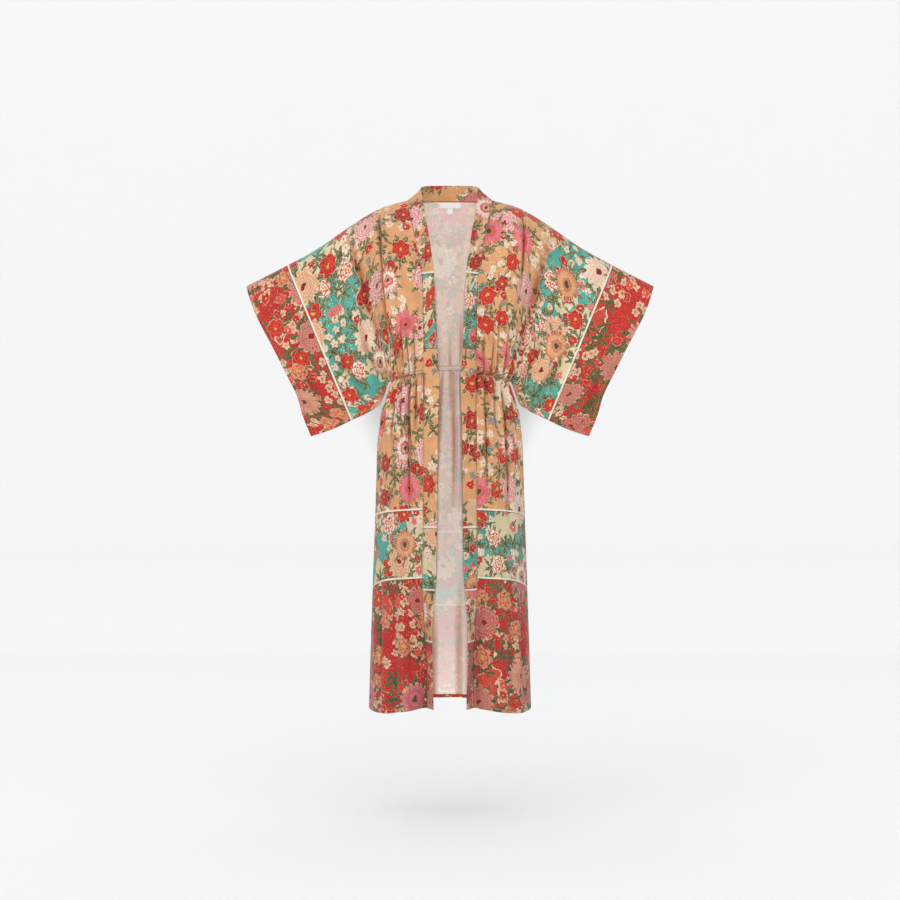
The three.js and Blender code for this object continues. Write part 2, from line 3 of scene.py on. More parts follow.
import bpy
import numpy as np
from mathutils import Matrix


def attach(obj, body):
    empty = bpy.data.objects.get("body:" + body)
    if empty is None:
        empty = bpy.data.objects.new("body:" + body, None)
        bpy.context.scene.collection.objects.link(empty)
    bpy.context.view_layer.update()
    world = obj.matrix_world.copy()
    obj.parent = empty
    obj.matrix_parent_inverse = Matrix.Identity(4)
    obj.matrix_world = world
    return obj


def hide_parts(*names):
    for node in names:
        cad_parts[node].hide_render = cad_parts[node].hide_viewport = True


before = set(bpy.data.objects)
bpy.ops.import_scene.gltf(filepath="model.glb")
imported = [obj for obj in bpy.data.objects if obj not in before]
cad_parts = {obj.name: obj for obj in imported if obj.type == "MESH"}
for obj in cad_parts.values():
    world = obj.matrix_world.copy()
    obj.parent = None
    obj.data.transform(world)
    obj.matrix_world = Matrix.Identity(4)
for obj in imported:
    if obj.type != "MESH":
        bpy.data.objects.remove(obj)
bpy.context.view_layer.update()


# Studio: a pale sheet swept from the floor up behind the robe, which floats clear of it,
# one small light in front, a very wide one overhead, a weak one on the left, and the camera.
FLOOR_Z = -1.5
SWEEP_HALF_WIDTH = 14.0
SWEEP_FRONT = -7.0
SWEEP_BACK = 5.0
SWEEP_BEND = 1.6
SWEEP_TOP = 8.0
# How far along the sheet, in metres, and its tint there
SWEEP_TINTS = [
    (-2.4, "FFFFFF"),
    (0.3, "FAFBFC"),
    (1.9, "F7F7F8"),
    (3.2, "E0E0E1"),
    (4.6, "D8D8D9"),
    (6.8, "DDDDDE"),
]


def linear(hex_colour):
    """The linear red, green, blue and alpha of an sRGB hex value."""
    parts = [int(hex_colour[i : i + 2], 16) / 255 for i in (0, 2, 4)]
    return [p / 12.92 if p <= 0.04045 else ((p + 0.055) / 1.055) ** 2.4 for p in parts] + [1]


def add(tree, kind, settings=None, *values, **named):
    """Adds a node, with its settings or the name of its operation. A value that is a node or
    a socket is linked, and any other is set."""
    made = tree.nodes.new("ShaderNode" + kind)
    if isinstance(settings, str):
        settings = {"operation": settings}
    for name, setting in (settings or {}).items():
        setattr(made, name, setting)
    pairs = list(enumerate(values)) + [(k.replace("_", " "), v) for k, v in named.items()]
    for place, value in pairs:
        if isinstance(value, bpy.types.Node):
            value = value.outputs[0]
        if isinstance(value, bpy.types.NodeSocket):
            tree.links.new(value, made.inputs[place])
        elif value is not None:
            made.inputs[place].default_value = value
    return made


def new_material(name):
    """An empty material and its node tree."""
    material = bpy.data.materials.new(name)
    material.use_nodes = True
    material.node_tree.nodes.clear()
    return material, material.node_tree


# Matt seamless studio paper: rolled paper, even and dull, so it only shows a soft shadow.
# It is a little greyer up the wall, which faces the light squarely, so that it looks even.
paper, tree = new_material("seamless studio paper")
where = add(tree, "TexCoord").outputs["Object"]
sides = add(tree, "SeparateXYZ", None, where)
along = add(tree, "Math", "ADD", sides.outputs[1], sides.outputs[2])
tint = linear(SWEEP_TINTS[0][1])
for start, end in zip(SWEEP_TINTS, SWEEP_TINTS[1:]):
    part = add(tree, "MapRange", None, along, start[0], end[0], 0.0, 1.0)
    tint = add(tree, "MixRGB", None, part, tint, linear(end[1]))
grain = add(tree, "TexNoise", None, Scale=900.0, Detail=2.0)
bump = add(tree, "Bump", None, Strength=0.05, Distance=0.0003, Height=grain)
look = {"Base_Color": tint, "Roughness": 0.95, "Specular_IOR_Level": 0.1, "Normal": bump}
shade = add(tree, "BsdfPrincipled", None, **look)
add(tree, "OutputMaterial", None, shade)

bpy.ops.object.select_all(action="DESELECT")
bpy.ops.mesh.primitive_grid_add(x_subdivisions=2, y_subdivisions=40, size=1)
sweep = bpy.context.object
sweep.name = "studio_sweep"
flat_run = SWEEP_BACK - SWEEP_BEND - SWEEP_FRONT
bend_run = SWEEP_BEND * math.pi / 2
whole_run = flat_run + bend_run + SWEEP_TOP
for vertex in sweep.data.vertices:
    run = (vertex.co.y + 0.5) * whole_run
    turned = min(max(run - flat_run, 0) / SWEEP_BEND, math.pi / 2)
    risen = max(run - flat_run - bend_run, 0)
    vertex.co = (
        vertex.co.x * 2 * SWEEP_HALF_WIDTH,
        SWEEP_FRONT + min(run, flat_run) + SWEEP_BEND * math.sin(turned),
        FLOOR_Z + SWEEP_BEND * (1 - math.cos(turned)) + risen,
    )
bpy.ops.object.shade_smooth()
sweep.data.materials.append(paper)

AIR_BRIGHTNESS = 0.43
world = bpy.data.worlds.new("studio air")
bpy.context.scene.world = world
world.use_nodes = True
air = world.node_tree.nodes["Background"].inputs
air["Color"].default_value = (1, 1, 1, 1)
air["Strength"].default_value = AIR_BRIGHTNESS

# Colours are shown as they are, with no film curve over them
bpy.context.scene.view_settings.view_transform = "Standard"

# Each light: name, the way it comes from, strength, and how wide its source looks in degrees
LIGHTS = [
    ("front_light", (0.0, -1.0, 0.015), 1.58, 2),
    ("top_light", (-0.16, -0.22, 1.0), 1.28, 105),
    ("side_light", (-1.0, -0.6, 0.4), 0.35, 60),
]
LAMP_DISTANCE = 4
for name, place, strength, spread in LIGHTS:
    lamp = bpy.data.lights.new(name, "SUN")
    lamp.energy = strength
    lamp.angle = math.radians(spread)
    stand = bpy.data.objects.new(name, lamp)
    bpy.context.scene.collection.objects.link(stand)
    stand.location = np.array(place) * LAMP_DISTANCE
    tilt = math.acos(place[2] / math.hypot(*place))
    heading = math.atan2(-place[1], -place[0]) - math.pi / 2
    stand.rotation_euler = (tilt, 0, heading)

# The camera stands 4.2 m in front of the side seams, level with the robe's middle
CAMERA_PLACE = (0, -4.26, -0.6176)
FOCAL_LENGTH = 68.28
lens = bpy.data.cameras.new("camera")
lens.sensor_width = 36
lens.lens = FOCAL_LENGTH
camera = bpy.data.objects.new("camera", lens)
bpy.context.scene.collection.objects.link(camera)
camera.location = CAMERA_PLACE
camera.rotation_euler = (math.radians(90), 0, 0)
bpy.context.scene.camera = camera


# Bodice back: one panel of plain woven viscose with the backs of both sleeves cut in one
# with it. It is sewn to the fronts along the shoulders, sleeve tops and underarms, and
# gathered into the elasticated waist seam. All sizes are metres, as on the solid it dresses.
SEAM_PLANE = -0.06  # y of the shoulder, underarm and side seams
LAYER = 0.00115  # the middle of the cloth stands this far off the seam plane in the sleeves
CLOTH_THICKNESS = 0.0008
NECK_HALF = 0.104
NECK_DEPTH = 0.06
NECK_POINT_Z = -0.004
NECK_SQUARENESS = 2.4  # 2 is a round back neckline, and more a squarer one
WAIST_HALF = 0.145
WAIST_EDGE_X = 0.065
WAIST_SIDE_Z = -0.45
CUFF_FROM = 1.4  # place across the sleeve where the curve of its edge begins to tell
GATHER_TURN = 0.12  # gathers run square to the waist ring, and this far off it straight back
SLEEVE_FOLD_AT = 0.35  # folds in a sleeve are deepest at this share of its height
ROUND_SHARE = 0.14  # share of a panel's rows that go into the round at the top seam
GATHERED_IN = 0.5  # the cut is this much wider at the waist than the gathered seam
SEAM_PULL = 0.0022  # how far the elastic pulls the waist seam in, over this much cloth
SEAM_PULL_RUN = 0.006
SEAM_SHADE_DEPTH = 0.0038  # depth of the painted shade drawn along the waist seam, over this much cloth
SEAM_SHADE_RUN = 0.0045
MOST_CREASE = 0.011  # no crease goes deeper than this
SHARP_WIDTH = 0.0075  # a crease narrower than this has a sharp line down its middle
CREASE_RISE = 0.3  # a crease deepens over this first share of its length
CREASE_FADE = 0.6  # and fades over this last share
RIDGE_OFF = 1.9  # the ridge beside it runs this many widths off its middle
NECK_CURVE_ACROSS = 0.7  # the neckline's curve shifts the cloth from the edge to here
TURNING = 0.008  # hems and cuffs are turned in this far and stitched
CASING = 0.006  # rows of stitches hold the elastic this far from the waist seam

# x and z along the shoulder and the sleeve top
TOP_SEAM = [
    (0.104, -0.004), (0.135, -0.012), (0.168, -0.023), (0.206, -0.043),
    (0.251, -0.072), (0.322, -0.121), (0.398, -0.163), (0.5, -0.215),
]

# x and z along the underarm seam, from the waist to the foot of the cuff
UNDERARM_SEAM = [
    (0.145, -0.4499), (0.149, -0.4499), (0.153, -0.456), (0.16, -0.477), (0.171, -0.503),
    (0.185, -0.515), (0.205, -0.527), (0.241, -0.544), (0.29, -0.567), (0.342, -0.584),
]

# Share of the way down the sleeve opening, and how far its edge stands outside a line
CUFF_EDGE = [
    (0, 0), (0.2, 0.005), (0.42, -0.002), (0.62, -0.007), (0.73, -0.009), (0.86, -0.002), (1, 0),
]

# Lines of cloth down the back. Across: 0 the middle, 1 the side, 2 the cuff. Then x at
# the top seam and at the foot, depth off the seam plane, the drop over which the cloth
# rounds out to it, how round that is, and how late it draws in towards the foot.
BACK_LINES = [
    (0, 0, 0, 0.106, 0.19, 0, 1.6),
    (0.3, 0.062, 0.066, 0.11, 0.175, 0.05, 1.8),
    (0.5, 0.104, 0.103, 0.108, 0.15, 0.4, 2),
    (0.75, 0.16, 0.134, 0.098, 0.115, 0.85, 1.8),
    (1, 0.232, 0.145, 0.074, 0.078, 1, 1.3),
    (1.15, 0.262, 0.153, 0.062, 0.064, 1, 1.35),
    (1.3, 0.3, 0.171, 0.052, 0.054, 1, 1.4),
    (1.5, 0.352, 0.207, 0.046, 0.047, 1, 1.5),
    (1.66, 0.398, 0.243, 0.042, 0.044, 1, 1.5),
    (1.83, 0.449, 0.291, 0.039, 0.042, 1, 1.5),
    (2, 0.5, 0.342, 0.037, 0.04, 1, 1.5),
]

# Folds that the elastic draws in: place across and width in the same measure, depth at
# the waist seam, and how far the fold runs up the bodice and down the skirt.
BACK_FOLDS = [
    (0.06, 0.03, 0.005, 0.12, 0.16),
    (0.17, 0.03, 0.0055, 0.075, 0.24),
    (0.28, 0.032, 0.005, 0.19, 0.12),
    (0.39, 0.03, 0.006, 0.1, 0.3),
    (0.5, 0.032, 0.005, 0.08, 0.1),
    (0.61, 0.032, 0.006, 0.23, 0.2),
    (0.72, 0.03, 0.005, 0.095, 0.13),
    (0.83, 0.032, 0.0055, 0.15, 0.18),
    (0.94, 0.026, 0.004, 0.08, 0.08),
]

# The small gathers between those folds, in the same measures
BACK_PUCKERS = [
    (0.025, 0.013, 0.0039, 0.045, 0.075),
    (0.098, 0.012, 0.0049, 0.083, 0.053),
    (0.134, 0.014, 0.0034, 0.036, 0.09),
    (0.215, 0.012, 0.0046, 0.068, 0.045),
    (0.247, 0.013, 0.0035, 0.045, 0.105),
    (0.322, 0.013, 0.0049, 0.09, 0.06),
    (0.356, 0.011, 0.0035, 0.039, 0.042),
    (0.432, 0.013, 0.0047, 0.057, 0.083),
    (0.467, 0.012, 0.0035, 0.098, 0.045),
    (0.536, 0.013, 0.0044, 0.045, 0.09),
    (0.575, 0.011, 0.0036, 0.075, 0.045),
    (0.648, 0.013, 0.0047, 0.053, 0.068),
    (0.684, 0.012, 0.0036, 0.09, 0.053),
    (0.757, 0.013, 0.0046, 0.045, 0.09),
    (0.795, 0.011, 0.0035, 0.068, 0.042),
    (0.868, 0.013, 0.0046, 0.075, 0.06),
    (0.905, 0.011, 0.0034, 0.042, 0.075),
    (0.972, 0.012, 0.003, 0.053, 0.045),
]

# Soft folds that hang in a sleeve from its top seam: place across, width, depth, length
SLEEVE_FOLDS = [
    (1.1, 0.07, 0.009, 0.26),
    (1.4, 0.1, 0.005, 0.32),
    (1.74, 0.1, 0.004, 0.26),
]

FLIP = np.array([-1, 1, 1])  # takes a point to the same place on the other side


def curve(table, column):
    """A smooth curve through one column of a table, read at a place in its first column."""
    places = np.array([row[0] for row in table], float)
    values = np.array([row[column] for row in table], float)
    before = np.concatenate([[0], np.arange(len(table) - 1)]).astype(int)
    after = np.concatenate([np.arange(1, len(table)), [len(table) - 1]]).astype(int)
    leans = (values[after] - values[before]) / (places[after] - places[before])

    def read(at):
        i = np.searchsorted(places[1:-1], at, side="left")
        step = places[i + 1] - places[i]
        t = np.clip((at - places[i]) / step, 0, 1)
        ease = t * t * (3 - 2 * t)
        start = values[i] * (1 - ease) + values[i + 1] * ease
        return start + (leans[i] * t * (1 - t) ** 2 - leans[i + 1] * t * t * (1 - t)) * step

    return read


def bell(offset, width):
    return np.exp(-((offset / width) ** 2))


def fold_depth(folds, across, run, reach):
    """How far folds draw the cloth in. reach is the column of their length that way."""
    return sum(f[2] * bell(across - f[0], f[1]) * bell(run, f[reach]) for f in folds)


def ring_angle(front, across, half, edge):
    """Angle round an oval ring, from its front or back middle to the side."""
    start = np.arcsin(edge / half) if front else 0
    return start + (math.pi / 2 - start) * across


top_seam_z = curve(TOP_SEAM, 1)
underarm_z = curve(UNDERARM_SEAM, 1)
cuff_out = curve(CUFF_EDGE, 1)

BACK = {
    "front": False,
    "way": 1,
    "lines": [curve(BACK_LINES, column) for column in range(1, 7)],
    "folds": BACK_FOLDS + BACK_PUCKERS,
    "waist_depth": 0.1,
    "waist_rise": 0.038,
}


def bodice_surface(face, across, share):
    """Points of a bodice panel at places across it and shares of the way down its rows."""
    top, foot, swell, fall, rounding, draw = [line(across) for line in face["lines"]]
    way = face["way"]
    top_depth = np.zeros_like(across)
    top_z = top_seam_z(top)
    if not face["front"]:
        inside = np.clip(top / NECK_HALF, 0, 1)
        on_neck = top < NECK_HALF
        neck_depth = NECK_DEPTH * np.sqrt(1 - inside**NECK_SQUARENESS)
        top_depth = np.where(on_neck, neck_depth, top_depth)
        top_z = np.where(on_neck, NECK_POINT_Z * inside**2, top_z)

    angle = ring_angle(face["front"], np.minimum(across, 1), WAIST_HALF, WAIST_EDGE_X)
    out_x = np.sin(angle)
    out_y = way * np.cos(angle)
    on_body = across <= 1
    waist_depth = face["waist_depth"] * np.cos(angle)
    foot_x = np.where(on_body, WAIST_HALF * out_x, foot)
    body_foot_z = WAIST_SIDE_Z + face["waist_rise"] * np.cos(angle)
    foot_z = np.where(on_body, body_foot_z, underarm_z(foot))
    foot_depth = np.where(on_body, waist_depth, LAYER)
    length = np.hypot(foot_x - top, foot_z - top_z)

    in_round = fall * (1 - np.cos(math.pi / 2 * np.minimum(share / ROUND_SHARE, 1)))
    below = np.maximum(share - ROUND_SHARE, 0) / (1 - ROUND_SHARE)
    drop = in_round + (length - fall) * below
    part = drop / length
    z = top_z + (foot_z - top_z) * part
    x = top + (foot_x - top) * part
    if face["front"]:
        straight = NECK_HALF + (WAIST_EDGE_X - NECK_HALF) * part
        bend = face["neckline"](-z) - straight
        x = x + bend * np.maximum(0, 1 - across / NECK_CURVE_ACROSS) ** 2
    towards_cuff = np.maximum(0, (across - CUFF_FROM) / (2 - CUFF_FROM))
    x = x + cuff_out(part) * towards_cuff**2

    s = np.minimum(1, drop / fall)
    slope = np.sin(math.pi / 2 * s)
    arc = np.sqrt(np.maximum(0, 1 - (1 - s) ** 2))
    shape = slope + (arc - slope) * np.clip(rounding, 0, 1)
    after = np.maximum(0, (drop - fall) / (length - fall))
    full = swell + (foot_depth - swell) * after**draw
    depth = top_depth + (full - top_depth) * shape

    run = length - drop
    gather = fold_depth(face["folds"], across, run, 3) * np.minimum(1, shape)
    gather = gather + SEAM_PULL * bell(run, SEAM_PULL_RUN) * np.clip((1.1 - across) / 0.1, 0, 1)
    hang = fold_depth(SLEEVE_FOLDS, across, run - length * SLEEVE_FOLD_AT, 3)
    hang = hang * shape * (1 - after)
    turn = np.clip(run / GATHER_TURN, 0, 1)
    x = x - out_x * (1 - turn) * gather
    depth = depth - np.abs(out_y * (1 - turn) + way * turn) * gather - hang
    least = np.where(drop > fall, LAYER, 0)
    depth = np.where(across > 1, np.maximum(depth, least), depth)
    return np.stack([x, SEAM_PLANE + way * depth, z], axis=-1)


def grid_normals(points):
    """Directions square to a grid of points, by its rows and columns."""
    across = np.gradient(points, axis=1)
    down = np.gradient(points, axis=0)
    normals = np.cross(down, across)
    return normals / np.maximum(np.linalg.norm(normals, axis=-1, keepdims=True), 1e-12)


def even_out(values, passes, axes):
    """Averages each value of a grid with its neighbours, over and over."""
    for _ in range(passes):
        for axis in axes:
            size = values.shape[axis]
            before = np.take(values, np.maximum(np.arange(size) - 1, 0), axis)
            after = np.take(values, np.minimum(np.arange(size) + 1, size - 1), axis)
            values = (before + 2 * values + after) / 4
    return values


def broad_normals(points):
    """The same directions, evened out over a few centimetres so that folds don't turn them."""
    normals = even_out(grid_normals(points), 30, (0, 1))
    return normals / np.linalg.norm(normals, axis=-1, keepdims=True)


def fold_depths(points):
    """How far each point lies inside the line of its row with the folds evened out."""
    inward = even_out(points, 90, (1,)) - points
    return np.sum(inward * broad_normals(points), axis=-1)


def press_creases(points, creases, held):
    """Soft troughs with a low ridge on each side, along paths of x and z seen square on.
    Each crease: its path, its depth, its width, and 1 where it starts full at a seam.
    held is the number of rows at the top and at the foot over which a seam flattens it."""
    normals = broad_normals(points)
    flat = points[..., [0, 2]]
    shift = np.zeros(points.shape[:2])
    for path, depth, width, head in creases:
        path = np.array(path, float)
        steps = np.linalg.norm(np.diff(path, axis=0), axis=1)
        runs = np.concatenate([[0], np.cumsum(steps)])
        near = np.full(flat.shape[:2], 9.0)
        place = np.zeros(flat.shape[:2])
        for i, step in enumerate(steps):
            way = (path[i + 1] - path[i]) / step
            along = np.clip((flat - path[i]) @ way, 0, step)
            apart = np.linalg.norm(flat - path[i] - along[..., None] * way, axis=-1)
            nearer = apart < near
            near = np.where(nearer, apart, near)
            place = np.where(nearer, (runs[i] + along) / runs[-1], place)
        fade_in = 1 if head else np.clip(place / CREASE_RISE, 0, 1)
        fade_out = np.clip((1 - place) / CREASE_FADE, 0, 1)
        taper = fade_in * fade_out * fade_out * (3 - 2 * fade_out)
        if width < SHARP_WIDTH:
            trough = 0.6 * bell(near, width) + 0.55 * bell(near, 0.42 * width)
        else:
            trough = bell(near, width)
        trough = trough - 0.5 * bell(near - RIDGE_OFF * width, 0.9 * width)
        shift += depth * taper * trough
    rows = np.arange(points.shape[0])
    free_top = np.clip(rows / held[0], 0, 1) if held[0] else 1
    free_foot = np.clip((rows[-1] - rows) / held[1], 0, 1) if held[1] else 1
    free = np.broadcast_to(free_top * free_foot, rows.shape)
    shift = MOST_CREASE * np.tanh(shift / MOST_CREASE) * free[:, None]
    return points - normals * shift[..., None]


def runs_along(points, axis):
    """How far each point lies from the first one of its row or column, along the cloth."""
    steps = np.linalg.norm(np.diff(points, axis=axis), axis=-1)
    return np.pad(np.cumsum(steps, axis), [(1, 0) if a == axis else (0, 0) for a in (0, 1)])


def runs_back(points, axis):
    """How far each point lies from the last one of its row or column, along the cloth."""
    return np.flip(runs_along(np.flip(points, axis), axis), axis)


def cloth_piece(name, points, widen, print_place, marks):
    """A sheet of cloth on a grid of points, with the cut's flat coordinates, and with one
    number at each point for each mark: how far past a line of the print or sewing it lies."""
    rows, columns = points.shape[:2]
    bpy.ops.object.select_all(action="DESELECT")
    bpy.ops.mesh.primitive_grid_add(
        x_subdivisions=columns - 1, y_subdivisions=rows - 1, size=1, calc_uvs=True
    )
    piece = bpy.context.object
    piece.name = name
    mesh = piece.data
    flat = np.zeros(len(mesh.vertices) * 3)
    mesh.vertices.foreach_get("co", flat)
    flat = flat.reshape(-1, 3)
    c = np.rint((flat[:, 0] + 0.5) * (columns - 1)).astype(int)
    r = np.rint((0.5 - flat[:, 1]) * (rows - 1)).astype(int)
    mesh.vertices.foreach_set("co", points[r, c].ravel())

    u = runs_along(points, 1)
    u = (u - u[:, columns // 2, None]) * widen
    cut = np.stack([u, -runs_along(points, 0)], axis=-1) + np.array(print_place)
    corner = np.zeros(len(mesh.loops), int)
    mesh.loops.foreach_get("vertex_index", corner)
    layer = mesh.uv_layers[0]
    layer.name = "cloth"
    layer.data.foreach_set("uv", cut[r, c][corner].ravel())
    for mark, values in marks.items():
        layer = mesh.attributes.new(mark, "FLOAT", "POINT")
        layer.data.foreach_set("value", values[r, c].ravel())
    mesh.update()
    return piece


def close_shell(piece, right_side, wrong_side, thickness, node):
    """Gives the cloth its thickness, the faded side inwards, and puts it in its node's place."""
    piece.data.materials.append(right_side)
    piece.data.materials.append(wrong_side)
    wall = piece.modifiers.new("thickness", "SOLIDIFY")
    wall.thickness = thickness
    wall.offset = 0
    wall.material_offset = 1
    wall.material_offset_rim = 0
    bpy.ops.object.select_all(action="DESELECT")
    piece.select_set(True)
    bpy.context.view_layer.objects.active = piece
    bpy.ops.object.modifier_apply(modifier=wall.name)
    bpy.ops.object.shade_smooth()
    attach(piece, "root")
    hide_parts(node)


def sew_panel(node, points, widen, print_place, borders, from_turned, from_waist):
    """A panel of viscose with its borders, its turned edges and the stitches along them and
    beside the waist seam. Where an edge is turned in, the print shows on the inside too."""
    marks = {
        **borders,
        # fold depths, plus painted shade along the waist seam, which the cloth material draws
        # darker
        "fold_depth": fold_depths(points) + SEAM_SHADE_DEPTH * bell(from_waist, SEAM_SHADE_RUN),
        "turned": TURNING + 0.001 - from_turned,
        "stitch_gap": np.minimum(from_turned - TURNING, from_waist - CASING),
    }
    piece = cloth_piece(node + "_cloth", points, widen, print_place, marks)
    close_shell(piece, viscose_face, viscose_wrong, CLOTH_THICKNESS, node)
    turned = np.zeros(len(piece.data.vertices))
    piece.data.attributes["turned"].data.foreach_get("value", turned)
    for face in piece.data.polygons:
        if min(turned[v] for v in face.vertices) > 0:
            face.material_index = 0
    return piece


def new_group(name, takes, gives):
    """A node group with named inputs and outputs, listed by their kind."""
    group = bpy.data.node_groups.new(name, "ShaderNodeTree")
    for sockets, side in ((takes, "INPUT"), (gives, "OUTPUT")):
        for kind, labels in sockets.items():
            for label in labels:
                group.interface.new_socket(label, in_out=side, socket_type="NodeSocket" + kind)
    return group, group.nodes.new("NodeGroupInput"), group.nodes.new("NodeGroupOutput")


# One flower motif, repeated at uneven places: rings of petals with rounded tips about a
# heart. Few petals and rings make a blossom or a whorl of leaves, many a chrysanthemum.
SHAPE = ["Spacing", "Size", "Petals", "Rings", "Scallop", "Point", "Seed", "Sparse"]
DRAWN = ["Edge", "Tone", "Line", "Heart", "Pick", "Rib", "Vein"]
FLAT_NOISE = {"noise_dimensions": "2D"}
FLAT_CELLS = {"voronoi_dimensions": "2D"}
CLAMPED = {"operation": "MULTIPLY_ADD", "use_clamp": True}
FULL_TURN = 6.2832
VEIN_GAP = 0.0045
flower, takes, gives = new_group(
    "flower motif", {"Vector": ["Place"], "Float": SHAPE}, {"Float": DRAWN}
)
place, spacing, size, petals, rings, scallop, point, seed, sparse = takes.outputs[:9]
corner = add(flower, "CombineXYZ", None, seed, seed)
shifted = add(flower, "VectorMath", "ADD", place, corner)
density = add(flower, "Math", "DIVIDE", 1.0, spacing)
cells = add(
    flower, "TexVoronoi", FLAT_CELLS, Vector=shifted, Scale=density, Randomness=0.75
)
centre = cells.outputs["Position"]
local = add(flower, "VectorMath", "SUBTRACT", shifted, centre)
chance = add(flower, "SeparateColor", None, cells.outputs["Color"])
sides = add(flower, "SeparateXYZ", None, local)
angle = add(flower, "Math", "ARCTAN2", sides.outputs[1], sides.outputs[0])
turned = add(flower, "Math", "MULTIPLY_ADD", chance.outputs[2], FULL_TURN, angle)
distance = add(flower, "VectorMath", "LENGTH", local).outputs["Value"]
# A flower grows to between three quarters of its full size and all of it
grown = add(flower, "Math", "MULTIPLY_ADD", chance, 0.24, 0.76)
radius = add(flower, "Math", "MULTIPLY", size, grown)
ratio = add(flower, "Math", "DIVIDE", distance, radius)
# Its rings are wider towards the rim, and the petals of one stand between the next one's
packed = add(flower, "Math", "POWER", ratio, 0.8)
ring = add(flower, "Math", "MULTIPLY", packed, rings)
last_ring = add(flower, "Math", "SUBTRACT", rings, 1.0)
floor_ring = add(flower, "Math", "FLOOR", ring)
whole = add(flower, "Math", "MINIMUM", floor_ring, last_ring)
within = add(flower, "Math", "SUBTRACT", ring, whole)
pace = add(flower, "Math", "DIVIDE", petals, FULL_TURN)
swept = add(flower, "Math", "MULTIPLY", turned, pace)
staggered = add(flower, "Math", "MULTIPLY_ADD", whole, 0.5, swept)
part = add(flower, "Math", "FRACT", staggered)
aside = add(flower, "Math", "SUBTRACT", part, 0.5)
off = add(flower, "Math", "ABSOLUTE", aside)
# The tip of a petal lies furthest out at its middle, and falls back to both sides
spread = add(flower, "Math", "MULTIPLY", off, 2.0)
tapered = add(flower, "Math", "POWER", spread, point)
cut_in = add(flower, "Math", "MULTIPLY", tapered, scallop)
tip_at = add(flower, "Math", "SUBTRACT", 1.0, cut_in)
outermost = add(flower, "Math", "ADD", last_ring, tip_at)
left_over = add(flower, "Math", "SUBTRACT", outermost, ring)
scale = add(flower, "Math", "DIVIDE", radius, rings)
edge = add(flower, "Math", "MULTIPLY", left_over, scale)
tone = add(flower, "Math", {"operation": "DIVIDE", "use_clamp": True}, within, tip_at)
# Lines are drawn round the tips and between the petals
past_tip = add(flower, "Math", "SUBTRACT", within, tip_at)
from_tip = add(flower, "Math", "ABSOLUTE", past_tip)
tip_line = add(flower, "Math", "MULTIPLY_ADD", from_tip, -6.0, 0.75)
side_line = add(flower, "Math", "MULTIPLY_ADD", spread, 4.0, -2.9)
line_max = add(flower, "Math", {"operation": "MAXIMUM", "use_clamp": True}, tip_line, side_line)
heart = add(flower, "Math", CLAMPED, ratio, -40.0, 7.5)
# Flowers stand in loose drifts: at a bare place, every point counts as far outside one
drift = add(flower, "TexNoise", FLAT_NOISE, Vector=centre, Scale=11.0, Detail=0.0)
present = add(flower, "Math", "GREATER_THAN", drift, sparse)
raised = add(flower, "Math", "ADD", edge, 1.0)
shown = add(flower, "Math", "MULTIPLY_ADD", raised, present, -1.0)
aside_run = add(flower, "Math", "MULTIPLY", off, distance)
rib = add(flower, "Math", "DIVIDE", aside_run, pace)
# The side veins of a leaf leave its middle line at even gaps and slant towards its tip
slant = add(flower, "Math", "SUBTRACT", distance, rib)
vein_step = add(flower, "Math", "DIVIDE", slant, VEIN_GAP)
vein = add(flower, "Math", "FRACT", vein_step)
results = (shown, tone, line_max, heart, chance.outputs[1], rib, vein)
for socket, result in zip(gives.inputs, results):
    source = result.outputs[0] if isinstance(result, bpy.types.Node) else result
    flower.links.new(source, socket)

# A colour that changes with the part of the print: the upper ground, the border between
# its two lines, and the deep ground beyond it
by_zone, takes, gives = new_group(
    "colour by zone",
    {"Color": ["Upper", "Border", "Deep"], "Float": ["In border", "In deep"]},
    {"Color": ["Color"]},
)
first = add(by_zone, "MixRGB", None, takes.outputs[3], takes.outputs[0], takes.outputs[1])
second = add(by_zone, "MixRGB", None, takes.outputs[4], first, takes.outputs[2])
by_zone.links.new(second.outputs[0], gives.inputs[0])

# Colours of the screens the cloth is printed with
APRICOT = linear("CF9667")
PEACH = linear("D6AB84")
CREAM = linear("D8C8AC")
WHITE = linear("E1D5C3")
RED = linear("B2231E")
DEEP_RED = linear("841E22")
CORAL = linear("D9533F")
PINK = linear("D0787F")
ROSE = linear("B94459")
TEAL = linear("479E90")
OLIVE = linear("484B28")
DARK_OLIVE = linear("343B26")
SAGE = linear("A8A176")
RUST = linear("C23F2E")
GOLD = linear("D2A04A")
TAN = linear("C0956C")
STRAW = linear("CDBF98")
MOSS = linear("77744A")
DUSKY = linear("B9606A")

